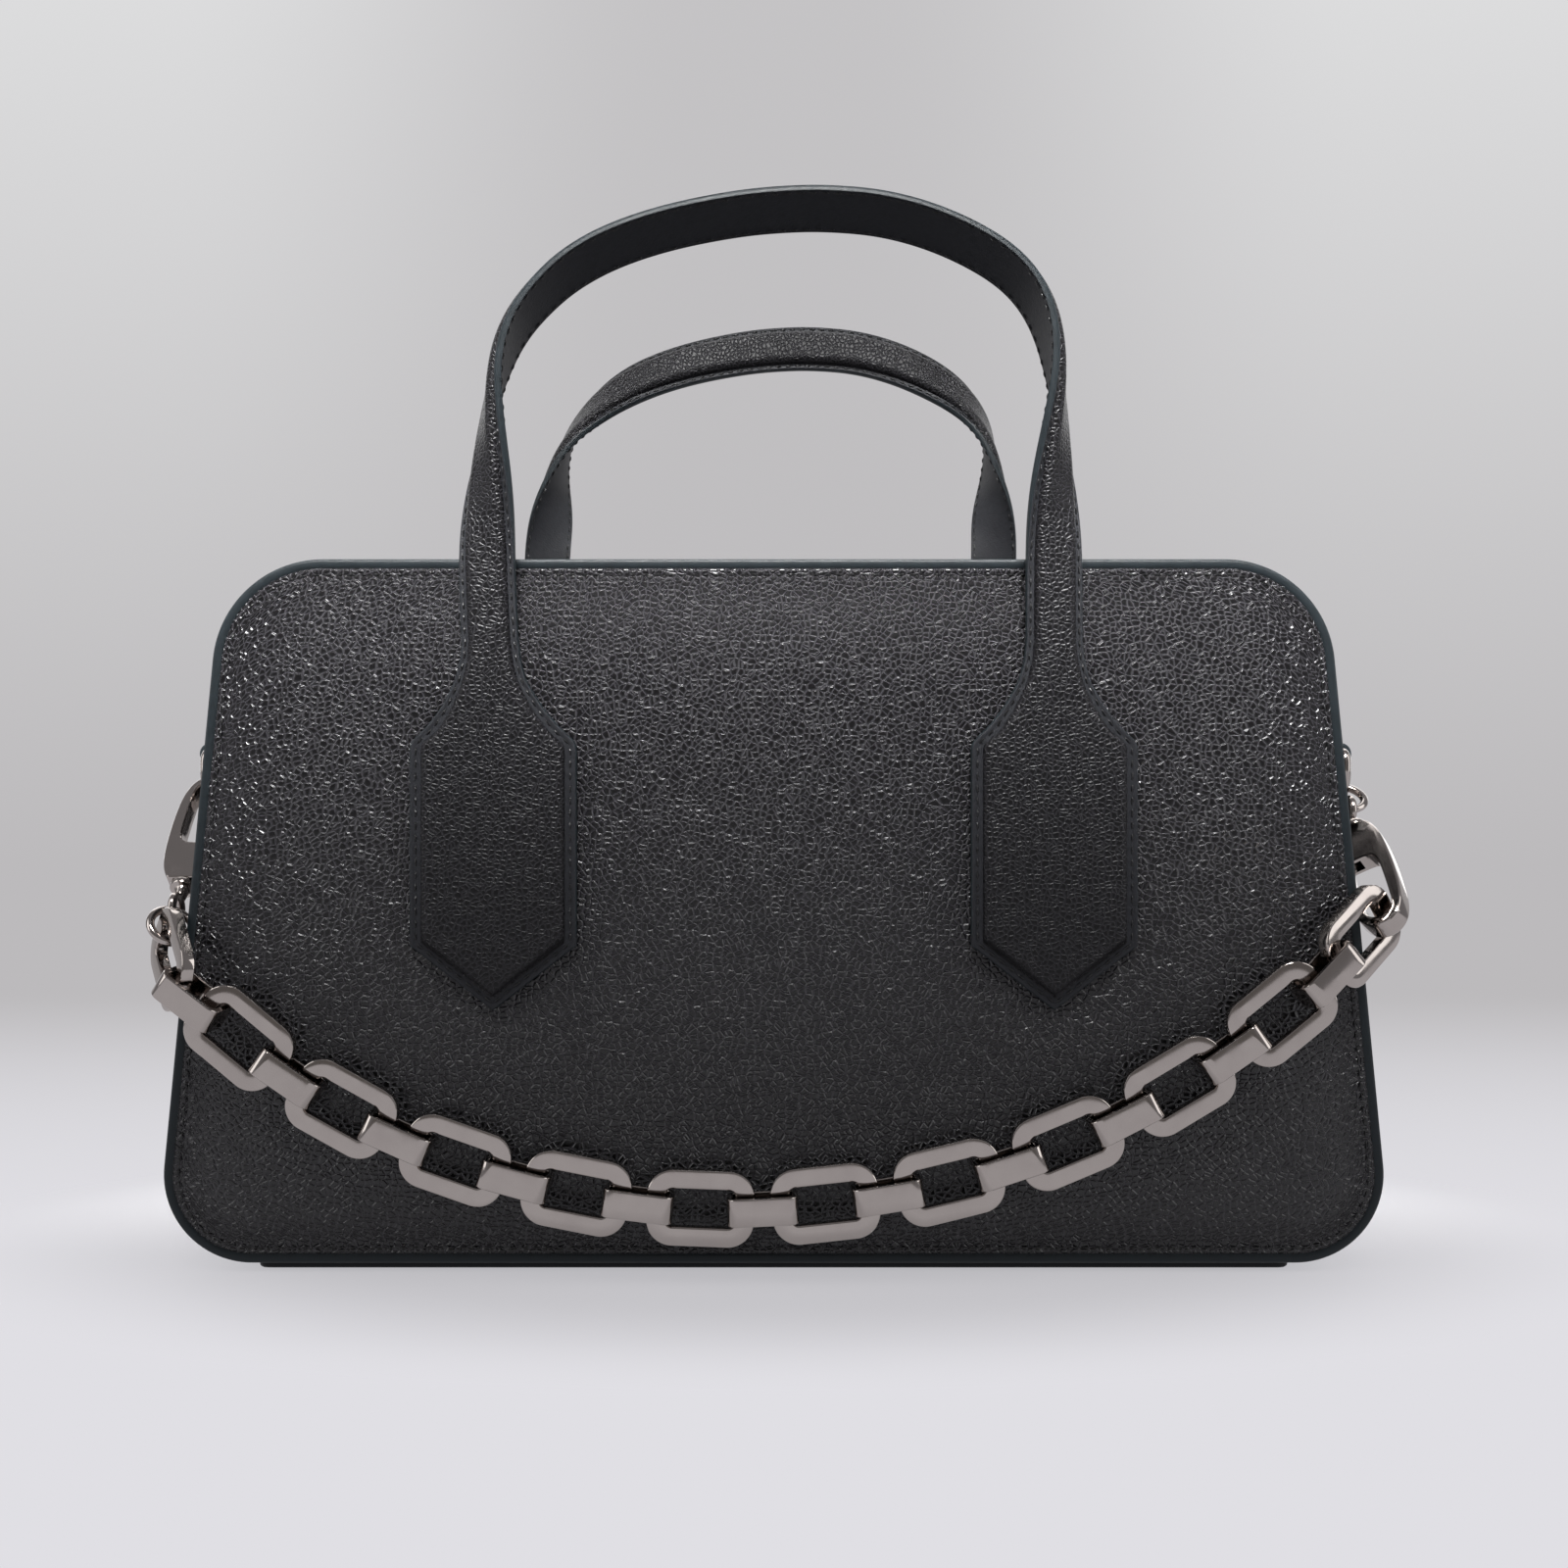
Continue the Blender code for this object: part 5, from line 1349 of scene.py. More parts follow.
@dataclass
class Zip:
    """The closure: two tapes with moulded teeth, two stops, a slider and a leather pull."""

    tape_top: float = 191.44 * MM
    tape: tuple[float, float] = (0.9 * MM, 15.0 * MM)
    half_length: float = 114.2 * MM
    teeth_half: float = 110.6 * MM
    pitch: float = 2.2 * MM
    axis: tuple[float, float] = (-106.0 * MM, 197.04 * MM)
    ring_length: float = 9.0 * MM
    ring_half: float = 4.2 * MM
    wire: float = 0.8 * MM
    tab_length: float = 21.0 * MM
    tab_half: float = 3.1 * MM
    layer: float = 0.62 * MM
    fold: float = 1.7 * MM

    def tapes(self) -> None:
        """Makes the two tapes."""
        x = np.linspace(-self.half_length, self.half_length, 80)
        for side in Side:
            middle = side.value * (self.tape[0] + self.tape[1]) / 2.0
            section = rounded_bar((self.tape[1] - self.tape[0]) / 2.0, 0.35 * MM, 0.3 * MM, 4)
            patch = sweep(lay(x, middle, self.tape_top - 0.35 * MM), ASIDE, UP, section, False)
            name = "zip_tape_" + side.tag
            make_piece(name + "_cloth", [patch], [TAPE], "bag", [name])

    def teeth(self) -> None:
        """Makes the teeth: rounded blocks, the two sides' set in turn so that they mesh."""
        profile = round_bar(1.0, 8) * (0.62 * MM, 0.98 * MM)
        along = np.array([-0.55, -0.35, 1.3, 2.6, 3.1]) * MM
        swell = np.array([0.55, 1.0, 0.85, 0.9, 0.75])
        for side in Side:
            shift = 0.0 if side is Side.FRONT else 0.5
            count = int(2.0 * self.teeth_half / self.pitch)
            patches = []
            for k in range(count):
                x = -self.teeth_half + (k + 0.25 + shift) * self.pitch
                path = lay(x, side.value * along, self.tape_top + 1.3 * MM)
                patches.append(sweep(path, (1.0, 0.0, 0.0), UP,
                                     profile[None] * swell[:, None, None], False))
            name = "zip_coil_" + side.tag
            make_piece(name + "_teeth", patches, [PAINT], "bag", [name])

    def pull(self) -> None:
        """Makes the pull's wire ring and its folded leather tab."""
        flat, normal = rounded_box(self.ring_length / 2.0, self.ring_half, 1.6 * MM, 0.5 * MM)
        path = lay(flat[:, 0] + self.axis[0] + self.ring_length / 2.0, flat[:, 1], self.axis[1])
        across = lay(normal[:, 0], normal[:, 1], 0.0)
        patch = sweep(path, across, UP, round_bar(self.wire, 12), True)
        make_piece("zip_pull_ring_wire", [patch], [METAL], "zip_pull",
                   ["zip_pull_ring"])
        far = self.axis[0] + self.ring_length
        angles = np.radians(np.linspace(100.0, 260.0, 17))
        bend = lay(far + self.fold * np.cos(angles), self.fold * np.sin(angles))
        ends = np.array([(far + self.tab_length, self.layer), (far + 8.0 * MM, self.layer),
                         (far + 3.0 * MM, 1.3 * MM)])
        line = evened(np.vstack([ends, bend, ends[::-1] * (1.0, -1.0)]), 90, 6)
        path = lay(line[:, 0], 0.0, self.axis[1] + line[:, 1])
        ahead = unit(np.gradient(path, axis=0))
        section = rounded_bar(self.tab_half, 0.5 * MM, 0.3 * MM, 5)
        patch = sweep(path, ASIDE, np.cross(ahead, ASIDE), section, False)
        make_piece("zip_pull_tab_leather", [patch], [CALF], "zip_pull",
                   ["zip_pull_tab"])

    def build(self) -> None:
        """Makes the zip's soft pieces and the pull, and finishes its solid metal parts."""
        self.tapes()
        self.teeth()
        self.pull()
        for name in ("zip_slider", "zip_stop_left", "zip_stop_right"):
            dressed(name, METAL, 0.12 * MM)


def dressed(node: str, finish: Finish, edge: float) -> None:
    """Gives a solid that already has the right shape its finish and slightly rounded edges.

    Args:
        node: The solid.
        finish: Its finish.
        edge: Radius of its rounded edges, or 0 for none.
    """
    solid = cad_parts[node]
    solid.data.materials.clear()
    solid.data.materials.append(finish.material())
    if edge > 0.0:
        weld = solid.modifiers.new("weld", "WELD")
        weld.merge_threshold = 0.002 * MM
        rounding = solid.modifiers.new("rounding", "BEVEL")
        rounding.width = edge
        rounding.segments = 3
        rounding.limit_method = "ANGLE"
        rounding.angle_limit = math.radians(35.0)


@dataclass
class SideLoop:
    """The leather strip that is folded round a side ring's bar and sewn to the gusset."""

    end: End
    ring_x: float
    bar_z: float = 143.5 * MM
    web: float = -2.3 * MM
    start: float = 11.0 * MM
    length: float = 20.0 * MM
    half_width: float = 7.5 * MM
    leather: float = 1.5 * MM
    bend: float = 2.74 * MM
    gap: float = 0.3 * MM
    margin: float = 1.9 * MM

    def path(self) -> Array:
        """The strip's middle line, from the inner layer's top down, round the bar and up."""
        tilt = math.atan(OUTLINE.slope())
        up = np.array([-math.sin(tilt), math.cos(tilt)])
        out = np.array([math.cos(tilt), math.sin(tilt)])
        bar = np.array([abs(self.ring_x), self.bar_z])
        web = np.array([float(OUTLINE.half_width(self.bar_z)), self.bar_z]) + out * self.web
        foot, head = web + up * self.start, web + up * (self.start + self.length)
        lean = unit(foot - bar)
        across = np.array([lean[1], -lean[0]])
        angles = np.radians(np.linspace(338.0, 22.0, 40))[:, None]
        bend = bar + (lean * np.cos(angles) + across * np.sin(angles)) * self.bend
        inner, outer = out * self.leather * 0.5, out * (self.leather * 1.5 + self.gap)
        line = np.vstack([head + inner, foot + inner, bend, foot + outer, head + outer])
        line = evened(line, 150, 8)
        return lay(self.end.value * line[:, 0], 0.0, line[:, 1])

    def build(self) -> None:
        """Makes the strip with painted edges, and sews its two layers together."""
        path = self.path()
        ahead = unit(np.gradient(path, axis=0))
        out = np.cross(ahead, ASIDE) * self.end.value
        section = rounded_bar(self.half_width, self.leather / 2.0, 0.5 * MM, 6)
        slots = np.ones((1, len(section)), dtype=int)
        slots[:, 11::12] = 0
        tag = self.end.tag
        patch = sweep(path, ASIDE, out, section, False, slots)
        make_piece("side_loop_%s_leather" % tag, [patch], [CALF, PAINT], "bag",
                   ["side_loop_" + tag])
        face = np.array([self.end.value, 0.0, 0.0])
        outer = path[-46:-4] + face * (self.leather / 2.0)
        lines = [outer + (0.0, side.value * (self.half_width - self.margin), 0.0)
                 for side in Side]
        top = np.linspace(-self.half_width + 2.5 * MM, self.half_width - 2.5 * MM, 9)
        lines.append(outer[-1] + lay(0.0, top, 0.0))
        stitched("side_loop_%s_seams" % tag, [Stitching().row(line, face) for line in lines], "bag")


def node_frame(node: str) -> tuple[Array, Array]:
    """Finds a solid's own middle and axes from its points.

    The axes are the right singular vectors of the points about their mean, in order of the solid's
    length along them; the middle is half way along each.

    Args:
        node: The solid's name.

    Returns:
        The middle, and the axes as rows, longest first.
    """
    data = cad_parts[node].data
    flat = np.zeros(len(data.vertices) * 3)
    data.vertices.foreach_get("co", flat)
    points = np.unique(flat.reshape(-1, 3).round(7), axis=0)
    mean = points.mean(axis=0)
    axes = np.linalg.svd(points - mean, full_matrices=False)[2]
    spread = (points - mean) @ axes.T
    low, high = spread.min(axis=0), spread.max(axis=0)
    order = np.argsort(low - high)
    return mean + (low + high) / 2.0 @ axes, axes[order]


@dataclass
class Chain:
    """The swag of flat oval links joined by narrow band links."""

    ovals: int = 12
    bands: int = 11
    oval: tuple[float, float] = (28.6 * MM, 20.1 * MM)
    oval_bar: float = 5.0 * MM
    oval_thickness: float = 3.4 * MM
    oval_corner: float = 7.0 * MM
    band: tuple[float, float] = (18.95 * MM, 11.2 * MM)
    band_wall: float = 1.6 * MM
    band_height: float = 7.3 * MM
    band_corner: float = 3.0 * MM

    def link(self, node: str, size: tuple[float, float], bar: float, depth: float, corner: float,
             edge: float) -> None:
        """Makes one link: a flat bar bent round a rectangle with rounded corners.

        Args:
            node: The solid that it stands for.
            size: Outer length and width.
            bar: Width of the bar in the link's plane.
            depth: Depth of the bar across the plane.
            corner: Outer radius of the corners.
            edge: Radius of the bar's edges.
        """
        middle, (along, wide, deep) = node_frame(node)
        corners = SQUARE * (np.array(size) - bar) / 2.0
        flat, normal = rounded_polygon(corners, (corner - bar / 2.0,) * 4, 0.45 * MM)
        path = middle + flat[:, :1] * along + flat[:, 1:] * wide
        across = normal[:, :1] * along + normal[:, 1:] * wide
        patch = sweep(path, across, deep, rounded_bar(bar / 2.0, depth / 2.0, edge, 5), True)
        metal_piece(node, [patch], "chain", 20.0)

    def build(self) -> None:
        """Makes every link."""
        for k in range(self.ovals):
            self.link("oval_link_%02d" % k, self.oval, self.oval_bar, self.oval_thickness,
                      self.oval_corner, 0.5 * MM)
        for k in range(self.bands):
            self.link("band_link_%02d" % k, self.band, self.band_wall, self.band_height,
                      self.band_corner, 0.4 * MM)


def smooth_outline(points: Array, corners: Sequence[int], steps: int) -> Array:
    """Draws a closed curve through points, with corners at some of them.

    Between corners the curve is a chain of cubics whose slope at each point is half the step
    between that point's neighbours.

    Args:
        points: The points in order.
        corners: Which of them are corners.
        steps: Points for each span.

    Returns:
        The curve's points; the last joins the first.
    """
    count = len(points)
    out = []
    t = (np.arange(steps) / steps)[:, None]
    for i in range(count):
        here, there = points[i], points[(i + 1) % count]
        before = 2.0 * here - there if i in corners else points[i - 1]
        after = 2.0 * there - here if (i + 1) % count in corners else points[(i + 2) % count]
        out.append(0.5 * (2.0 * here + (there - before) * t
                          + (2.0 * before - 5.0 * here + 4.0 * there - after) * t ** 2
                          + (3.0 * here - before - 3.0 * there + after) * t ** 3))
    return np.concatenate(out)


def outward(loop: Array) -> Array:
    """Outward normals of a closed plane curve, whichever way round it runs.

    Args:
        loop: The curve's points, two numbers each.

    Returns:
        One unit normal for each point.
    """
    step = np.roll(loop, -1, 0) - np.roll(loop, 1, 0)
    normal = unit(lay(step[:, 1], -step[:, 0]))
    ahead = np.roll(loop, -1, 0)
    area = np.sum(loop[:, 0] * ahead[:, 1] - ahead[:, 0] * loop[:, 1])
    return relax(normal * math.copysign(1.0, area), 1, closed=True)


@dataclass
class Clasp:
    """A trigger clasp: hooked body, gate, pivot and swivel, drawn on the clasp's own axes.

    `across`, `through` and `along` are unit vectors; shares are of `size`, across and along.
    """

    end: End
    origin: tuple[float, float, float]
    across: tuple[float, float, float]
    through: tuple[float, float, float]
    along: tuple[float, float, float]
    eye_across: tuple[float, float, float]
    size: float = 43.0 * MM
    thickness: float = 6.0 * MM
    gate_thickness: float = 2.6 * MM
    slot_width: float = 3.4 * MM
    edge: float = 0.7 * MM
    gate_edge: float = 0.35 * MM
    eye_place: float = 46.225 * MM
    eye_radius: float = 3.7 * MM
    eye_wire: float = 1.2 * MM
    slot_shares: tuple[tuple[float, float], tuple[float, float]] = ((0.025, 0.455), (0.21, 0.665))
    pivot_shares: tuple[float, float] = (0.10, 0.59)
    body_shares: Sequence[tuple[float, float]] = (
        (-0.095, 0.85), (-0.135, 0.76), (-0.160, 0.63), (-0.170, 0.45), (-0.168, 0.25),
        (-0.155, 0.09), (-0.123, -0.04), (-0.068, -0.115), (0.0, -0.14), (0.068, -0.125),
        (0.123, -0.07), (0.158, 0.015), (0.165, 0.125), (0.105, 0.13), (0.093, 0.015),
        (0.060, -0.043), (0.0, -0.065), (-0.050, -0.048), (-0.078, 0.013), (-0.085, 0.125),
        (-0.088, 0.275), (-0.085, 0.425), (-0.060, 0.495), (0.0, 0.515), (0.150, 0.52),
        (0.155, 0.61), (0.130, 0.76), (0.095, 0.85))
    gate_shares: Sequence[tuple[float, float]] = (
        (0.105, 0.14), (0.164, 0.135), (0.168, 0.225), (0.188, 0.265), (0.188, 0.335),
        (0.170, 0.375), (0.170, 0.50), (0.160, 0.59), (0.143, 0.633), (0.10, 0.65), (0.058, 0.633),
        (0.040, 0.59), (0.055, 0.545), (0.098, 0.475), (0.108, 0.30))

    def placed(self, u: Array, w: Array, v: Array) -> Array:
        """Points given across, through and along the clasp, in the bag's frame."""
        return (np.array(self.origin) + np.asarray(u)[..., None] * np.array(self.across)
                + np.asarray(w)[..., None] * np.array(self.through)
                + np.asarray(v)[..., None] * np.array(self.along))

    def plate(self, node: str, body: str, shares: Sequence[tuple[float, float]],
              corners: Sequence[int], half: float, edge: float) -> bpy.types.Object:
        """Makes a flat plate with rounded edges from an outline.

        Args:
            node: The solid that it stands for.
            body: The body that it rides on.
            shares: The outline's points, in shares of the clasp's size.
            corners: Which of them are corners.
            half: Half the plate's thickness.
            edge: Radius of its edges.

        Returns:
            The piece.
        """
        loop = relax(smooth_outline(np.array(shares) * self.size, corners, 10), 2, closed=True)
        normal = outward(loop)
        rows = []
        turn = np.radians([0.0, 22.5, 45.0, 67.5, 90.0])
        for sign in (-1.0, 1.0):
            order = turn[::-1] if sign < 0.0 else turn
            for a in order:
                flat = loop - normal * edge * (1.0 - math.cos(a))
                depth = sign * (half - edge + edge * math.sin(a))
                rows.append(self.placed(flat[:, 0], depth, flat[:, 1]))
        grid = np.stack(rows)
        return metal_piece(node, [Patch(grid, wrap_columns=True)], body, 20.0, (grid[0], grid[-1]))

    def body(self) -> None:
        """Makes the hooked body and mills the slot that the gate turns in."""
        piece = self.plate("clasp_body_" + self.end.tag, "chain", self.body_shares,
                           (0, 12, 13, 24, 27), self.thickness / 2.0, self.edge)
        low, high = np.array(self.slot_shares) * self.size
        half = self.slot_width / 2.0
        grid = []
        for u, v in ((low[0], low[1]), (high[0], low[1]), (high[0], high[1]), (low[0], high[1])):
            grid.append(self.placed(u, np.array([-half, half]), v))
        mesh = bpy.data.meshes.new("slot_cutter")
        corners = np.concatenate(grid)
        mesh.from_pydata(corners, [], [(0, 2, 4, 6), (7, 5, 3, 1), (0, 1, 3, 2), (2, 3, 5, 4),
                                       (4, 5, 7, 6), (6, 7, 1, 0)])
        mend(mesh)
        mesh.materials.append(METAL.material())
        cutter = add_object("slot_cutter", mesh)
        cut = piece.modifiers.new("slot", "BOOLEAN")
        cut.object = cutter
        cut.operation = "DIFFERENCE"
        cut.solver = "EXACT"
        bpy.context.view_layer.update()
        graph = bpy.context.evaluated_depsgraph_get()
        milled = bpy.data.meshes.new_from_object(piece.evaluated_get(graph))
        piece.modifiers.clear()
        old = piece.data
        piece.data = milled
        bpy.data.meshes.remove(old)
        bpy.data.objects.remove(cutter)
        milled.set_sharp_from_angle(angle=math.radians(20.0))

    def gate(self) -> None:
        """Makes the gate and the domed pin that it turns on."""
        node = "gate_" + self.end.tag
        self.plate(node, node, self.gate_shares, (0, 1), self.gate_thickness / 2.0,
                   self.gate_edge)
        u, v = np.array(self.pivot_shares) * self.size
        half = self.thickness / 2.0
        profile = np.array([(0.0, -half - 0.22 * MM), (0.6 * MM, -half - 0.17 * MM),
                            (1.05 * MM, -half), (1.15 * MM, -half + 0.2 * MM),
                            (1.15 * MM, half - 0.2 * MM), (1.05 * MM, half),
                            (0.6 * MM, half + 0.17 * MM), (0.0, half + 0.22 * MM)])
        ring = round_bar(1.0, 24)
        grid = self.placed(u + profile[:, :1] * ring[None, :, 0], profile[:, 1:],
                           v + profile[:, :1] * ring[None, :, 1])
        metal_piece("gate_pin_" + self.end.tag, [Patch(grid, wrap_columns=True)], "chain", 35.0)

    def swivel(self) -> None:
        """Makes the swivel: a turned stem with a collar, and the eye at its end."""
        side = np.array(self.eye_across)
        ahead = np.array(self.along)
        deep = np.cross(ahead, side)
        profile = np.array([(0.0, 30.1), (1.9, 30.1), (1.9, 32.0), (1.2, 32.0), (1.2, 36.85),
                            (3.05, 36.87), (3.38, 36.98), (3.5, 37.25), (3.5, 38.4), (3.4, 38.68),
                            (3.1, 38.82), (2.45, 38.9), (2.1, 39.1), (1.95, 39.6), (1.9, 40.4),
                            (1.75, 41.4), (1.5, 42.5), (0.0, 42.6)]) * MM
        ring = round_bar(1.0, 40)
        grid = (np.array(self.origin) + profile[:, None, 1:] * ahead
                + profile[:, None, :1] * (ring[None, :, :1] * side + ring[None, :, 1:] * deep))
        eye = hoop(np.array(self.origin) + ahead * self.eye_place, (side, ahead, deep),
                   self.eye_radius, self.eye_wire, 56, 16)
        node = "swivel_" + self.end.tag
        metal_piece(node, [Patch(grid, wrap_columns=True), eye], node, 35.0)

    def build(self) -> None:
        """Makes the clasp."""
        self.body()
        self.gate()
        self.swivel()


CLASPS = (
    Clasp(End.LEFT, (-0.168500, -0.007778, 0.130722), (0.998737, 0.035529, 0.035529),
          (0.000006, -0.707184, 0.707029), (0.050245, -0.706136, -0.706291),
          (0.000006, -0.707184, 0.707029)),
    Clasp(End.RIGHT, (0.165588, -0.051877, 0.097113), (-0.772940, 0.441782, -0.455402),
          (-0.629487, -0.444099, 0.637591), (0.079433, 0.779490, 0.621358),
          (0.000194, -0.623340, 0.781951)),
)


@dataclass
class Rings:
    """The two side rings in their loops, and the round wire rings between clasp and chain."""

    bow: float = 11.0 * MM
    wire: float = 1.6 * MM
    leg: float = 2.0 * MM
    corner: float = 3.0 * MM
    round_radius: float = 5.7 * MM
    round_wire: float = 1.15 * MM

    def side_ring(self, end: End) -> None:
        """Makes a side ring: a straight bar on top, a round bow below.

        Args:
            end: The end of the bag.
        """
        node = "side_ring_" + end.tag
        low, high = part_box(node)
        x = (low[0] + high[0]) / 2.0
        bow_z = low[2] + self.wire + self.bow
        top = self.leg + self.corner
        down = np.radians(np.linspace(180.0, 360.0, 49))
        right = np.radians(np.linspace(0.0, 90.0, 9))
        left = np.radians(np.linspace(90.0, 180.0, 9))
        bar = np.linspace(self.bow - self.corner, self.corner - self.bow, 14)[1:-1]
        y = np.concatenate([self.bow * np.cos(down),
                            self.bow - self.corner + self.corner * np.cos(right), bar,
                            self.corner - self.bow + self.corner * np.cos(left)])
        z = np.concatenate([self.bow * np.sin(down), self.leg + self.corner * np.sin(right),
                            np.full(len(bar), top), self.leg + self.corner * np.sin(left)])
        turn = np.concatenate([down, right, np.full(len(bar), math.pi / 2.0), left])
        patch = sweep(lay(x, y, bow_z + z), lay(0.0, np.cos(turn), np.sin(turn)), (1.0, 0.0, 0.0),
                      round_bar(self.wire, 16), True)
        metal_piece(node, [patch], "bag")

    def wire_ring(self, end: End) -> None:
        """Makes a round wire ring."""
        node = "wire_ring_" + end.tag
        middle, axes = node_frame(node)
        metal_piece(node, [hoop(middle, axes, self.round_radius, self.round_wire, 72, 14)], "chain")

    def build(self) -> None:
        """Makes all four rings."""
        for end in End:
            self.side_ring(end)
            self.wire_ring(end)


# studio and camera


@dataclass(frozen=True)
class Softbox:
    """One rectangular light that faces a point; a spread under 180 degrees is a grid before it."""

    name: str
    place: tuple[float, float, float]
    target: tuple[float, float, float]
    size: tuple[float, float]
    power: float
    spread: float = 180.0

    def hang(self, end: End | None = None) -> None:
        """Hangs the light, or one of a mirrored pair at one end of the bag.

        Args:
            end: The end of the bag, for one of a pair; none for a single light.
        """
        name = self.name + "_" + end.tag if end else self.name
        place = Vector(self.place) * Vector((end.value if end else 1.0, 1.0, 1.0))
        data = bpy.data.lights.new(name, "AREA")
        data.shape = "RECTANGLE"
        data.size, data.size_y = self.size
        data.energy = self.power
        data.spread = math.radians(self.spread)
        light = add_object(name, data)
        light.location = place
        aim = Vector(self.target) - place
        light.rotation_euler = aim.to_track_quat("-Z", "Y").to_euler()


@dataclass
class Studio:
    """A pale seamless sweep in a light tent, with strips over the bag and a softbox each side.

    One strip grazes the front from close above it, one lights the handles, and one the back.
    """

    sheet_tone: str = "deddde"
    floor_tone: str = "e0dfe4"
    wall_tone: str = "bcbabc"
    corner_tone: str = "dcdcdd"
    tent: str = "908f92"
    opening: str = "7a7776"
    shadow_reach: tuple[float, float] = (0.24, 0.44)
    shadow_shape: tuple[float, float, float] = (1.7, 3.0, 3.0)
    strips: Sequence[Softbox] = (
        Softbox("panel_strip", (0.0, -0.17, 0.36), (0.0, -0.07, 0.22), (0.9, 0.08), 0.66, 26.0),
        Softbox("handle_strip", (0.0, -0.30, 0.62), (0.0, 0.05, 0.26), (0.9, 0.14), 0.8, 32.0),
        Softbox("rear_strip", (0.0, 0.30, 0.70), (0.0, 0.0, 0.15), (1.0, 0.20), 1.2))
    pairs: Sequence[Softbox] = (
        Softbox("back", (0.55, 0.60, 0.45), (0.0, 0.05, 0.15), (0.3, 0.6), 0.8),
        Softbox("side", (0.75, -0.25, 0.45), (0.0, -0.05, 0.18), (0.35, 0.7), 1.5))

    def sweep_surface(self) -> None:
        """Makes the floor and the wall behind as one curved sheet."""
        bend = np.radians(np.linspace(0.0, 90.0, 24))
        y = np.concatenate([np.linspace(-3.0, 1.0, 30), 1.0 + 1.2 * np.sin(bend), np.full(12, 2.2)])
        z = np.concatenate([np.zeros(30), 1.2 - 1.2 * np.cos(bend), np.linspace(1.25, 4.0, 12)])
        grid = lay(np.linspace(-4.0, 4.0, 40)[None], y[:, None], z[:, None])
        quads, _, _ = Patch(grid).faces()
        mesh = bpy.data.meshes.new("studio_sweep")
        mesh.from_pydata(grid.reshape(-1, 3), [], quads[:, ::-1].tolist())
        mesh.shade_smooth()
        mesh.materials.append(self.paper())
        add_object("studio_sweep", mesh)

    def paper(self) -> bpy.types.Material:
        """Pale paper: matt near the bag, where it takes its shadow; evenly lit further off."""
        made = bpy.data.materials.new("studio_paper")
        made.use_nodes = True
        tree = made.node_tree
        shader = feed(tree, tree.nodes["Principled BSDF"],
                      {"Base Color": linear(self.sheet_tone), "Roughness": 0.9,
                       "Specular IOR Level": 0.0})
        place = add_node(tree, "NewGeometry").outputs["Position"]
        spot = add_node(tree, "SeparateXYZ", {"Vector": place}).outputs
        back = ramp(tree, spot["Y"], -0.10, 0.85, smooth=True)
        high = ramp(tree, spot["Z"], 0.10, 1.57)
        wide = ramp(tree, combine(tree, "ABSOLUTE", spot["X"]), 0.12, 1.05, 0.25, smooth=True)
        wall = tint(tree, combine(tree, "MULTIPLY", high, wide), self.wall_tone, self.corner_tone)
        glow = add_node(tree, "Emission", {"Color": tint(tree, back, self.floor_tone, wall)})
        scaled = combine(tree, "MULTIPLY", place, self.shadow_shape, vector=True)
        share = ramp(tree, combine(tree, "LENGTH", scaled, vector=True), *self.shadow_reach, 0.62,
                     smooth=True)
        path = add_node(tree, "LightPath").outputs
        seen = combine(tree, "MAXIMUM", path["Is Camera Ray"], path["Is Glossy Ray"])
        seen = combine(tree, "MAXIMUM", seen, path["Is Transmission Ray"])
        mixed = add_node(tree, "MixShader", {0: combine(tree, "MULTIPLY", share, seen),
                                             1: shader.outputs["BSDF"],
                                             2: glow.outputs["Emission"]})
        feed(tree, tree.nodes["Material Output"], {"Surface": mixed.outputs["Shader"]})
        return made

    def surround(self) -> None:
        """Makes the walls of the light tent: pale at the sides and above, dim behind the camera."""
        world = bpy.data.worlds.new("studio_surround")
        world.use_nodes = True
        tree = world.node_tree
        toward = add_node(tree, "TexCoord").outputs["Generated"]
        axes = add_node(tree, "SeparateXYZ", {"Vector": toward}).outputs
        tone = tint(tree, ramp(tree, axes["Y"], -0.98, -0.62, smooth=True), self.opening, self.tent)
        seen = add_node(tree, "LightPath").outputs["Is Camera Ray"]
        feed(tree, tree.nodes["Background"], {"Color": tint(tree, seen, tone, self.corner_tone)})
        bpy.context.scene.world = world

    def build(self) -> None:
        """Sets up the surround, the sheet and the lights."""
        self.surround()
        self.sweep_surface()
        for strip in self.strips:
            strip.hang()
        for end in End:
            for box in self.pairs:
                box.hang(end)


@dataclass
class CameraRig:
    """The photo's camera: level, in front of the bag, shifted up and to the right."""

    place: tuple[float, float, float] = (-0.002, -0.478, 0.113)
    lens: float = 36.09
    sensor: float = 36.0
    shift: tuple[float, float] = (0.01125, 0.0456)

    def build(self) -> None:
        """Makes the camera and the picture's settings."""
        data = bpy.data.cameras.new("camera")
        data.lens = self.lens
        data.sensor_width = self.sensor
        data.shift_x, data.shift_y = self.shift
        data.clip_start = 0.01
        camera = add_object("camera", data)
        camera.location = self.place
        camera.rotation_euler = (math.pi / 2.0, 0.0, 0.0)
        scene = bpy.context.scene
        scene.camera = camera
        scene.render.resolution_x = scene.render.resolution_y = 1600
        scene.render.resolution_percentage = 100
        scene.view_settings.view_transform = "Standard"


FRONT_TWIST = ((0.0, 0.0), (0.22, 3.0), (0.36, 32.0), (0.45, 54.0), (0.53, 70.0), (0.62, 88.0),
               (0.75, 102.0), (0.88, 110.0), (1.0, 112.0))
REAR_TWIST = ((0.0, 0.0), (0.42, 4.0), (0.53, 42.0), (0.60, 68.0), (0.65, 84.0), (0.72, 102.0),
              (0.80, 128.0), (0.90, 158.0), (1.0, 174.0))


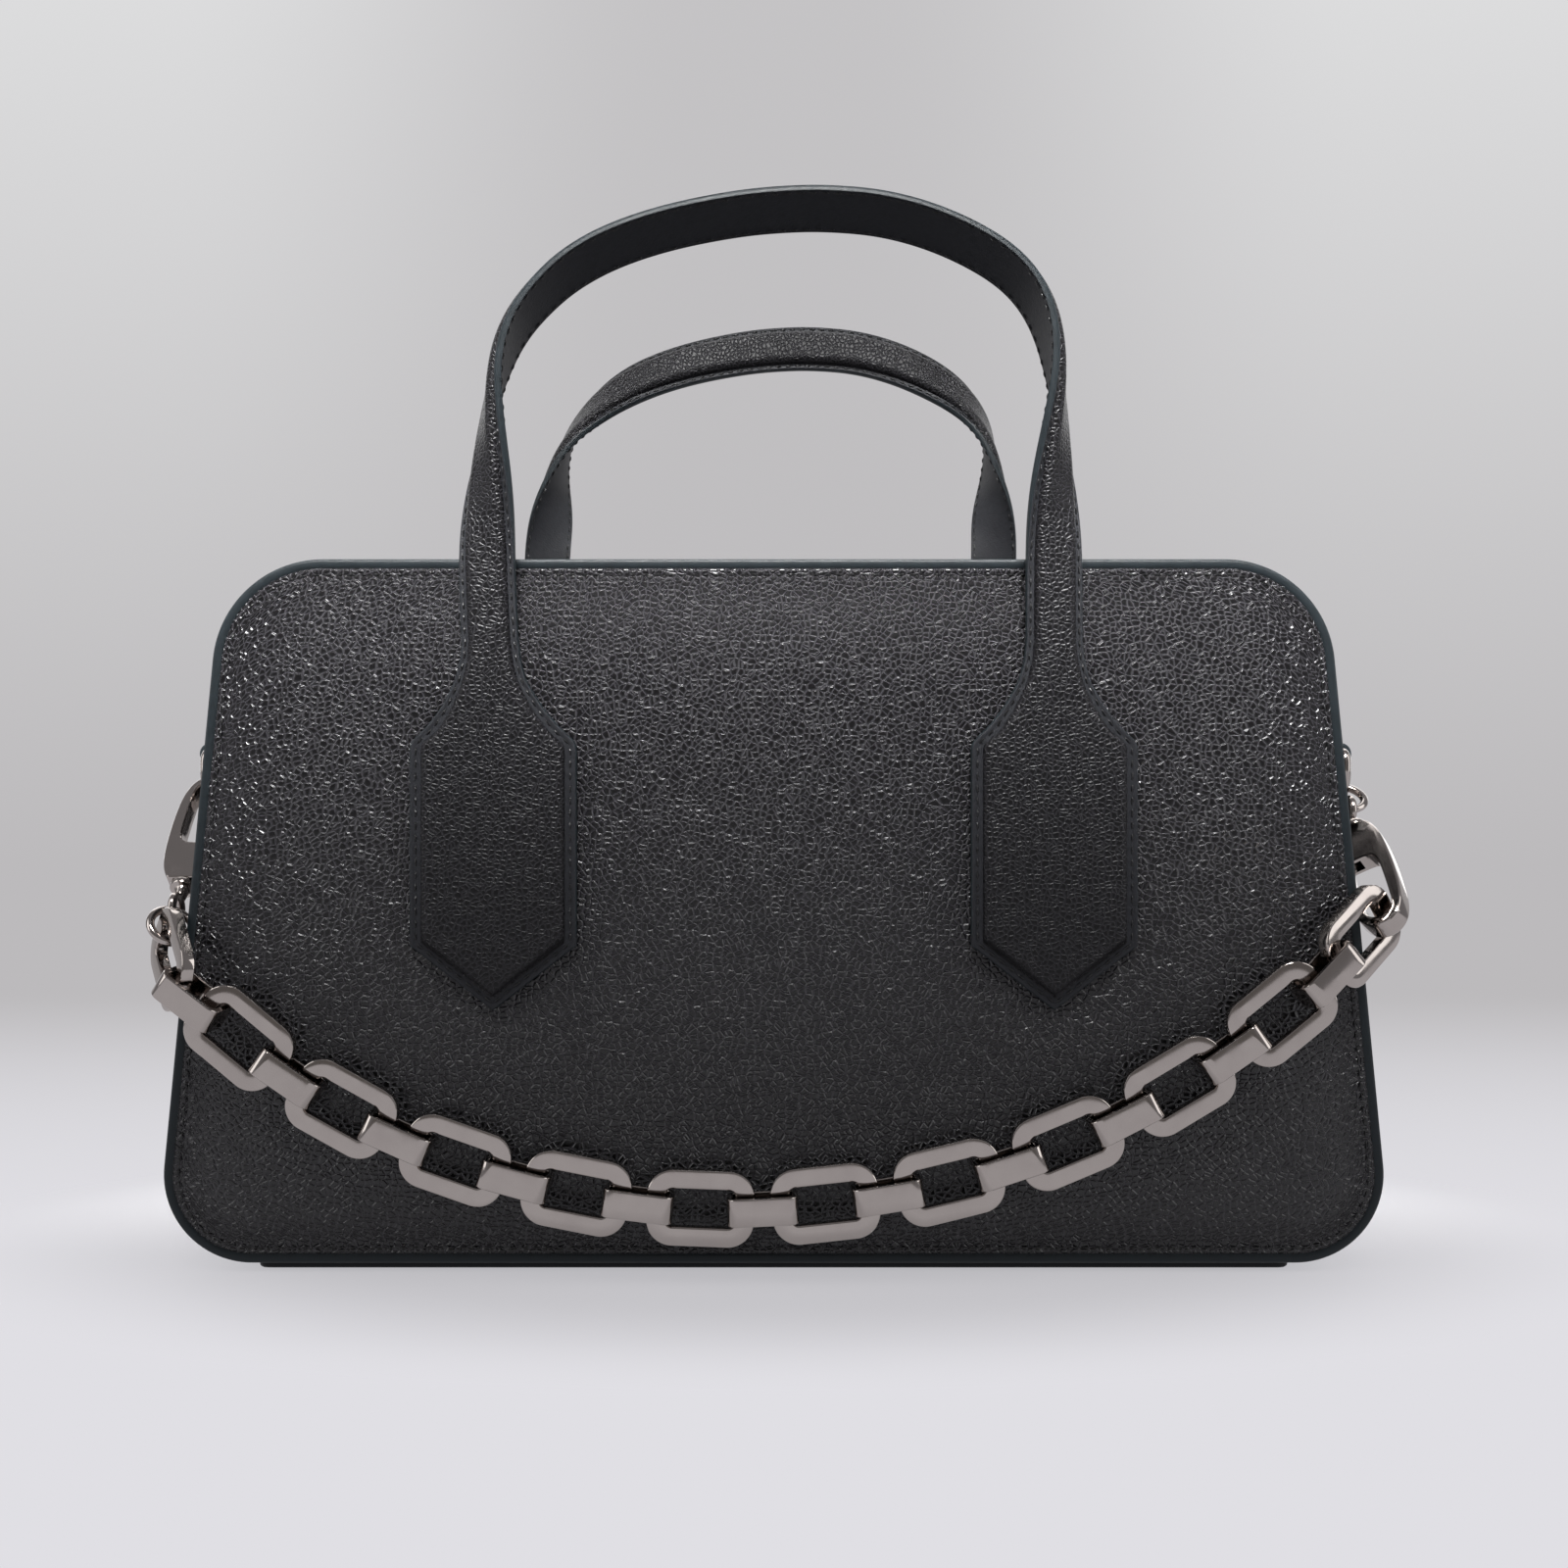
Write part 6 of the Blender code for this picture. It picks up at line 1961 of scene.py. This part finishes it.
def main() -> None:
    """Builds every piece in order, then the studio."""
    logging.basicConfig(level=logging.INFO, format="%(message)s")
    for side in Side:
        panel = Panel(side)
        panel.build()
        panel.seam()
    Gusset().build()
    dressed("base_board", BOARD, 0.0)
    Zip().build()
    for side, twist in ((Side.FRONT, FRONT_TWIST), (Side.REAR, REAR_TWIST)):
        handle = Handle(side, twist)
        handle.build()
        handle.seams()
    for end, ring_x in ((End.LEFT, -168.5 * MM), (End.RIGHT, 170.0 * MM)):
        SideLoop(end, ring_x).build()
    Rings().build()
    Chain().build()
    for clasp in CLASPS:
        clasp.build()
    Studio().build()
    CameraRig().build()


if __name__ == "__main__":
    main()
